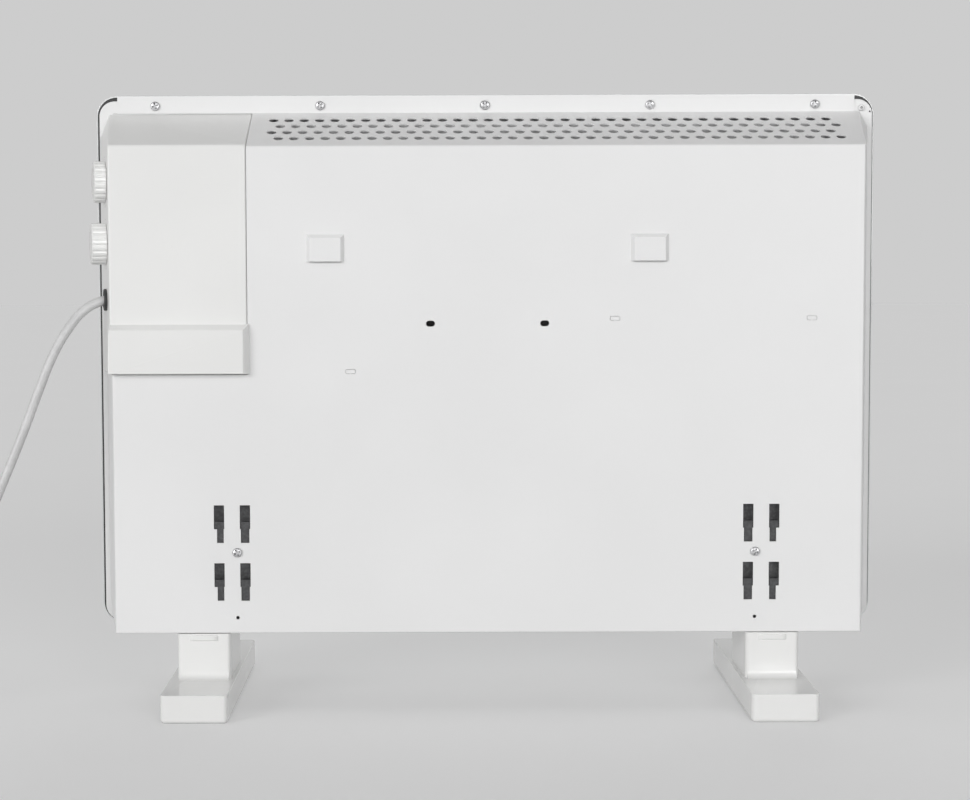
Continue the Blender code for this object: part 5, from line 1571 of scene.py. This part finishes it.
    def tie_strip(self) -> bpy.types.Object:
        """The flat strip round the coil, with its buckle."""
        cx, cy = self.coil_centre
        inner_r = self.coil_outer - self.lay * self.coil_turns - self.diameter / 2
        outer_r = self.coil_outer + self.diameter / 2
        y = cy - (inner_r + outer_r) / 2
        width, height = outer_r - inner_r, 2 * self.lay
        low, high = cx - self.tie_width / 2, cx + self.tie_width / 2
        outside, inside = (rounded(width + wider, height + higher, corner, 6, (y, self.lay + rise))
                           for wider, higher, corner, rise in (self.tie_outside, self.tie_inside))
        strip = Form().prism(outside, Axis.X, low, high)
        strip.cut(Form().prism(inside, Axis.X, low - BITE, high + BITE))
        rise, over = self.buckle_place
        buckle = rounded(*self.buckle, 4, (y, height + rise))
        strip.add(Form().prism(buckle, Axis.X, low - over, high + over))
        return build_piece("coil_tie", strip, self.tie)

    def plug(self) -> bpy.types.Object:
        """The round plug: a ribbed tail, a waisted grip and a flat face."""
        tail, face = self.diameter / 2 + self.sleeve, self.plug_tail + self.plug_length
        (first, rest), (deep, soft) = self.grip_first, self.grip_depth
        profile = [(0, 0), (tail - soft, 0), (tail, 0.0005)]
        step = (self.plug_tail - rest) / self.grip_grooves
        for i in range(self.grip_grooves):
            z, r = first + i * step, tail + self.sleeve * i / self.grip_grooves
            half = z + step * 0.45
            profile += [(r, z), (r - deep, z + soft), (r - deep, half), (r + 0.0002, half + soft)]
        knots = [(tail + self.sleeve, self.plug_tail)]
        knots += [(self.plug_radius * wide, self.plug_tail + self.plug_length * along)
                  for wide, along in self.plug_waist]
        knots.append((self.plug_radius, face - self.plug_rim))
        for (r0, z0), (r1, z1) in zip(knots, knots[1:]):
            for i in range(6):
                t = i / 6
                eased = t * t * (3 - 2 * t)
                profile.append((r0 + (r1 - r0) * eased, z0 + (z1 - z0) * t))
        profile += round_rim(self.plug_radius, face, self.plug_edge, 4)
        edge, floor, sunk = self.plug_face
        profile += [(self.plug_radius * edge, face), (self.plug_radius * floor, face - sunk),
                    (0, face - sunk)]
        body = Form().lathe(profile, 64)
        for side in (-1, 1):
            notch = rounded(*self.plug_notch, 4, (side * self.plug_radius, 0))
            body.cut(Form().prism(notch, Axis.Z, face - self.plug_rim * 0.8, face + BITE))
        y, z = self.coil_centre[1] + self.coil_outer, self.lay * 1.5
        tilt = math.asin((self.plug_radius - z) / (face - self.plug_rim))
        seat = Matrix.Translation((self.coil_centre[0] + self.tail + self.plug_gap, y, z))
        body.move(seat @ Matrix.Rotation(math.pi / 2 - tilt, 4, "Y"))
        return build_piece("plug_shell", body, self.black, replaced=["plug_body"], sharp=35)

    def build(self) -> None:
        """Lay the lead and everything on it."""
        self.gland()
        lead, plug, tie = self.lead(), self.plug(), self.tie_strip()
        settle(lead, Body.HEATER, ["mains_cord", "cord_coil"])
        for i in (1, 2):
            dress_node(f"plug_pin_{i}", Finishes.ZINC)


# ---- feet ----------------------------------------------------------------------------------------

@dataclass
class Foot:
    """A moulded foot: a long bar with round edges and a neck up to the casing."""

    side: str
    sign: int
    finish: Finish = Finishes.GLOSS
    x: float = 0.2278
    width: float = 0.0526
    length: float = 0.236
    height: float = 0.0222
    corner: float = 0.0042
    low_edge: float = 0.0030
    top_edge: float = 0.0008
    pad_length: float = 0.010
    arch: float = 0.0014
    wall: float = 0.0028
    neck_insets: Point = (0.0063, 0.0037)
    neck_reach: Point = (-0.0245, 0.0546)
    neck_corner: float = 0.0035
    neck_top: float = 0.0589
    fillet: float = 0.0057
    tab: tuple[float, float, float, float] = (0.024, 0.0046, 0.0038, 0.0014)
    tab_round: tuple[float, float, float] = (0.45, 0.8, 0.3)
    room_corner: float = 0.001
    screw_hole: float = 0.0046

    @property
    def neck_x(self) -> float:
        """The middle of the neck."""
        outer, inner = self.neck_insets
        return self.sign * (self.x + (inner - outer) / 2)

    @property
    def neck_width(self) -> float:
        """The neck's width."""
        return self.width - sum(self.neck_insets)

    def bar(self) -> Form:
        """The long bar on the floor, rounded all over."""
        points = []
        levels = [(self.low_edge * (1 - c), self.low_edge * (1 - s)) for s, c in quarter_arc(6)]
        levels += [(self.top_edge * (1 - c), self.height - self.top_edge * (1 - s))
                   for c, s in quarter_arc(4)]
        middle = (self.sign * self.x, 0)
        for inset, z in levels:
            corner = max(self.corner - inset, self.corner / 4)
            size = (self.width - 2 * inset, self.length - 2 * inset)
            points += [(a, b, z) for a, b in rounded(*size, corner, 8, middle)]
        return Form().hull(points)

    def neck(self) -> Form:
        """The neck, with a round fillet at the back where it leaves the bar."""
        (front, back), foot = self.neck_reach, self.height - BITE
        centre = (self.neck_x, (front + back) / 2)
        outline = rounded(self.neck_width, back - front, self.neck_corner, 8, centre)
        neck = Form().prism(outline, Axis.Z, foot, self.neck_top)
        curve = [(back - BITE, foot), (back + self.fillet, foot)]
        curve += [(back + self.fillet * (1 - s), self.height + self.fillet * (1 - c))
                  for c, s in quarter_arc(10)]
        curve.append((back - BITE, self.height + self.fillet))
        half = self.neck_width / 2 - self.neck_corner * 0.5
        neck.add(Form().prism(curve, Axis.X, self.neck_x - half, self.neck_x + half))
        (width, height, rise, drop), (aside, power, lift) = self.tab, self.tab_round
        top = self.neck_top - drop
        lug = []
        for c, s in quarter_arc(6):
            across, reach = width / 2 * (1 - aside + aside * c), rise * s ** power
            lug += [(self.neck_x + sign * across, back - BITE + reach, z) for sign in (-1, 1)
                    for z in (top - height + height * lift * (1 - c), top)]
        return neck.add(Form().hull(lug))

    def hollows(self) -> Form:
        """The rooms that are open underneath."""
        made = Form()
        front, back = self.neck_reach
        half, end = self.width / 2 - self.wall, self.length / 2 - self.pad_length
        rooms = [(2 * half, high - low, self.sign * self.x, (low + high) / 2, self.height)
                 for low, high in ((-end, front - self.wall / 2), (back + self.wall / 2, end))]
        rooms.append((self.neck_width - 2 * self.wall, back - front - 2 * self.wall, self.neck_x,
                      (front + back) / 2, self.neck_top))
        for width, length, x, y, top in rooms:
            outline = rounded(width, length, self.room_corner, 3, (x, y))
            made.prism(outline, Axis.Z, -BITE, top - self.wall)
        return made

    def build(self) -> None:
        """Mould the foot."""
        foot = self.bar().add(self.neck())
        end, middle = self.length / 2 - self.pad_length, self.sign * self.x
        foot.cut(Form().prism(span(-end, end, -BITE, self.arch), Axis.X, middle - self.width,
                              middle + self.width))
        foot.cut(self.hollows())
        places = [seen_middle(node, Axis.Z) for node in foot_screws(self.side)]
        foot.cut(Form().pins(places, self.screw_hole, 20, Axis.Z, self.neck_top - self.wall - BITE,
                             self.neck_top + BITE))
        build_piece(f"foot_{self.side}_shell", foot, self.finish, replaced=[f"foot_{self.side}"])


# ---- inside --------------------------------------------------------------------------------------

@dataclass
class Interior:
    """What lies behind the casing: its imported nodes, each in its own finish."""

    def build(self) -> None:
        """Dress every inner node."""
        dressed = {
            Finishes.SHIELD: ("heat_shield", "partition"),
            Finishes.SHEET: ("element_bracket_left", "element_bracket_right", "fan_housing"),
            Finishes.HOOK: ("hook_plate_left", "hook_plate_right"),
            Finishes.ALUMINIUM: ("element_lower", "element_upper"),
            Finishes.BAKELITE: ("thermostat_body", "selector_switch", "thermal_cutout",
                                "terminal_block"),
            Finishes.WIRE: ("wire_lead", "wire_switch", "wire_thermostat", "wire_element"),
            Finishes.STACK: ("fan_motor",),
            Finishes.BLACK: ("fan_rotor",),
        }
        for finish, nodes in dressed.items():
            for node in nodes:
                dress_node(node, finish)


# ---- studio --------------------------------------------------------------------------------------

@dataclass(frozen=True)
class Sun:
    """A broad, even lamp far away, with its direction and softness in degrees."""

    name: str
    azimuth: float
    elevation: float
    strength: float
    softness: float = 32.0
    glossy: bool = True


@dataclass
class Studio:
    """The floor, the soft light and the camera."""

    floor_colour: Colour = (0.58, 0.58, 0.58)
    backdrop: Point = (0.61, 0.20)
    backdrop_fade: Point = (0.30, 0.75)
    floor_glow: float = 0.262
    floor_radius: float = 14.0
    floor_grain: float = 1.01
    sky: Point = (0.29, 0.92)
    sky_fade: Point = (-0.35, -0.95)
    suns: tuple[Sun, ...] = (Sun("left_sun", 50.0, 12.0, 1.46), Sun("right_sun", 112.0, 12.0, 1.10),
                             Sun("front_sun", 262.0, 12.0, 0.80, glossy=False))
    camera_at: Place = (0.03431, 1.70989, 0.35932)
    camera_turn: Place = (0.06885, -0.00228, -0.00313)
    lens: float = 77.82
    shift: float = 0.0469
    sensor: float = 36.0

    def seen(self, s: Sketch) -> bpy.types.NodeSocket:
        """One where the eye, gloss or glass looks, and nought where light is gathered."""
        path = s.node("ShaderNodeLightPath").outputs
        far = s.math("MAXIMUM", path["Is Glossy Ray"], path["Is Transmission Ray"])
        return s.math("MAXIMUM", path["Is Camera Ray"], far)

    def floor(self) -> None:
        """A wide plain floor, a little paler to the eye than its light makes it."""
        sheet = Form()
        bmesh.ops.create_circle(sheet.bm, cap_ends=True, segments=96, radius=self.floor_radius)
        made = sheet.object("studio_floor")
        material = bpy.data.materials.new("studio_floor")
        material.use_nodes = True
        s = Sketch(material.node_tree)
        shader = material.node_tree.nodes["Principled BSDF"]
        grain = s.between(s.noise(3.0, 4.0), 0.2, 0.8)
        light = tuple(c * self.floor_grain for c in self.floor_colour)
        s.feed(shader.inputs["Base Color"], s.blend(grain, self.floor_colour, light))
        glow = (self.floor_glow,) * 3
        s.feed(shader.inputs["Emission Color"], s.blend(self.seen(s), (0.0, 0.0, 0.0), glow))
        shader.inputs["Emission Strength"].default_value = 1.0
        shader.inputs["Roughness"].default_value = 0.9
        shader.inputs["Specular IOR Level"].default_value = 0.0
        made.data.materials.append(material)

    def world(self) -> None:
        """A sky that lights from the glass's side and gives the eye and gloss a plain tone."""
        world = bpy.data.worlds.new("studio_sky")
        bpy.context.scene.world = world
        world.use_nodes = True
        tree = world.node_tree
        s = Sketch(tree)
        background = tree.nodes["Background"]
        background.inputs["Color"].default_value = (1.0, 1.0, 1.0, 1.0)
        way = s.node("ShaderNodeTexCoord").outputs["Generated"]
        light = s.between(s.axis_part(way, Axis.Y), *self.sky_fade, *self.sky)
        share = self.seen(s)
        kept = s.math("MULTIPLY", light, s.math("SUBTRACT", 1.0, share))
        shown = s.between(s.axis_part(way, Axis.Z), *self.backdrop_fade, *self.backdrop)
        s.feed(background.inputs["Strength"], s.math("ADD", kept, s.math("MULTIPLY", share, shown)))

    def sun(self, lamp: Sun) -> None:
        """Hang one of the suns."""
        data = bpy.data.lights.new(lamp.name, "SUN")
        data.energy, data.angle = lamp.strength, math.radians(lamp.softness)
        made = bpy.data.objects.new(lamp.name, data)
        made.visible_glossy = lamp.glossy
        bpy.context.scene.collection.objects.link(made)
        turn, rise = math.radians(lamp.azimuth), math.radians(lamp.elevation)
        flat = math.cos(rise)
        way = Vector((math.cos(turn) * flat, math.sin(turn) * flat, math.sin(rise)))
        facing = way.to_track_quat("Z", "Y").to_matrix().to_4x4()
        made.matrix_world = Matrix.Translation(way * 4) @ facing

    def camera(self) -> None:
        """The camera behind the heater, a little above it."""
        pitch, yaw, roll = self.camera_turn
        data = bpy.data.cameras.new("camera")
        data.lens, data.sensor_width, data.sensor_fit = self.lens, self.sensor, "HORIZONTAL"
        data.shift_x = self.shift
        data.clip_start, data.clip_end = 0.01, 60.0
        made = bpy.data.objects.new("camera", data)
        bpy.context.scene.collection.objects.link(made)
        turn = (Matrix.Rotation(math.pi - yaw, 4, "Z")
                @ Matrix.Rotation(math.pi / 2 - pitch, 4, "X") @ Matrix.Rotation(roll, 4, "Z"))
        made.matrix_world = Matrix.Translation(self.camera_at) @ turn
        bpy.context.scene.camera = made

    def build(self) -> None:
        """Set the studio up."""
        self.floor()
        self.world()
        for lamp in self.suns:
            self.sun(lamp)
        self.camera()
        bpy.context.scene.view_settings.view_transform = "Standard"


# ---- the whole heater ----------------------------------------------------------------------------

def main() -> None:
    """Build the heater's sub-assemblies in order."""
    logging.basicConfig(level=logging.INFO, format="%(message)s")
    box = ControlBox()
    places = {joint["name"]: box.wall_place(joint["pos_m"][2]) for joint in frame["joints"]}
    Studio().build()
    MainsLead(box.wall_place(box.gland_z)).build()
    RearCasing().build()
    WallSlots().build()
    Screws().build()
    FrontPanel().build()
    box.build()
    TurnKnob("thermostat", Body.THERMOSTAT, places["thermostat_turn"], height=0.0096, ticks=13,
             sweep=300).build()
    TurnKnob("selector", Body.SELECTOR, places["selector_turn"], height=0.0121, ticks=4,
             sweep=270).build()
    for side, sign in (("left", 1), ("right", -1)):
        Foot(side, sign).build()
    Interior().build()


if __name__ == "__main__":
    main()
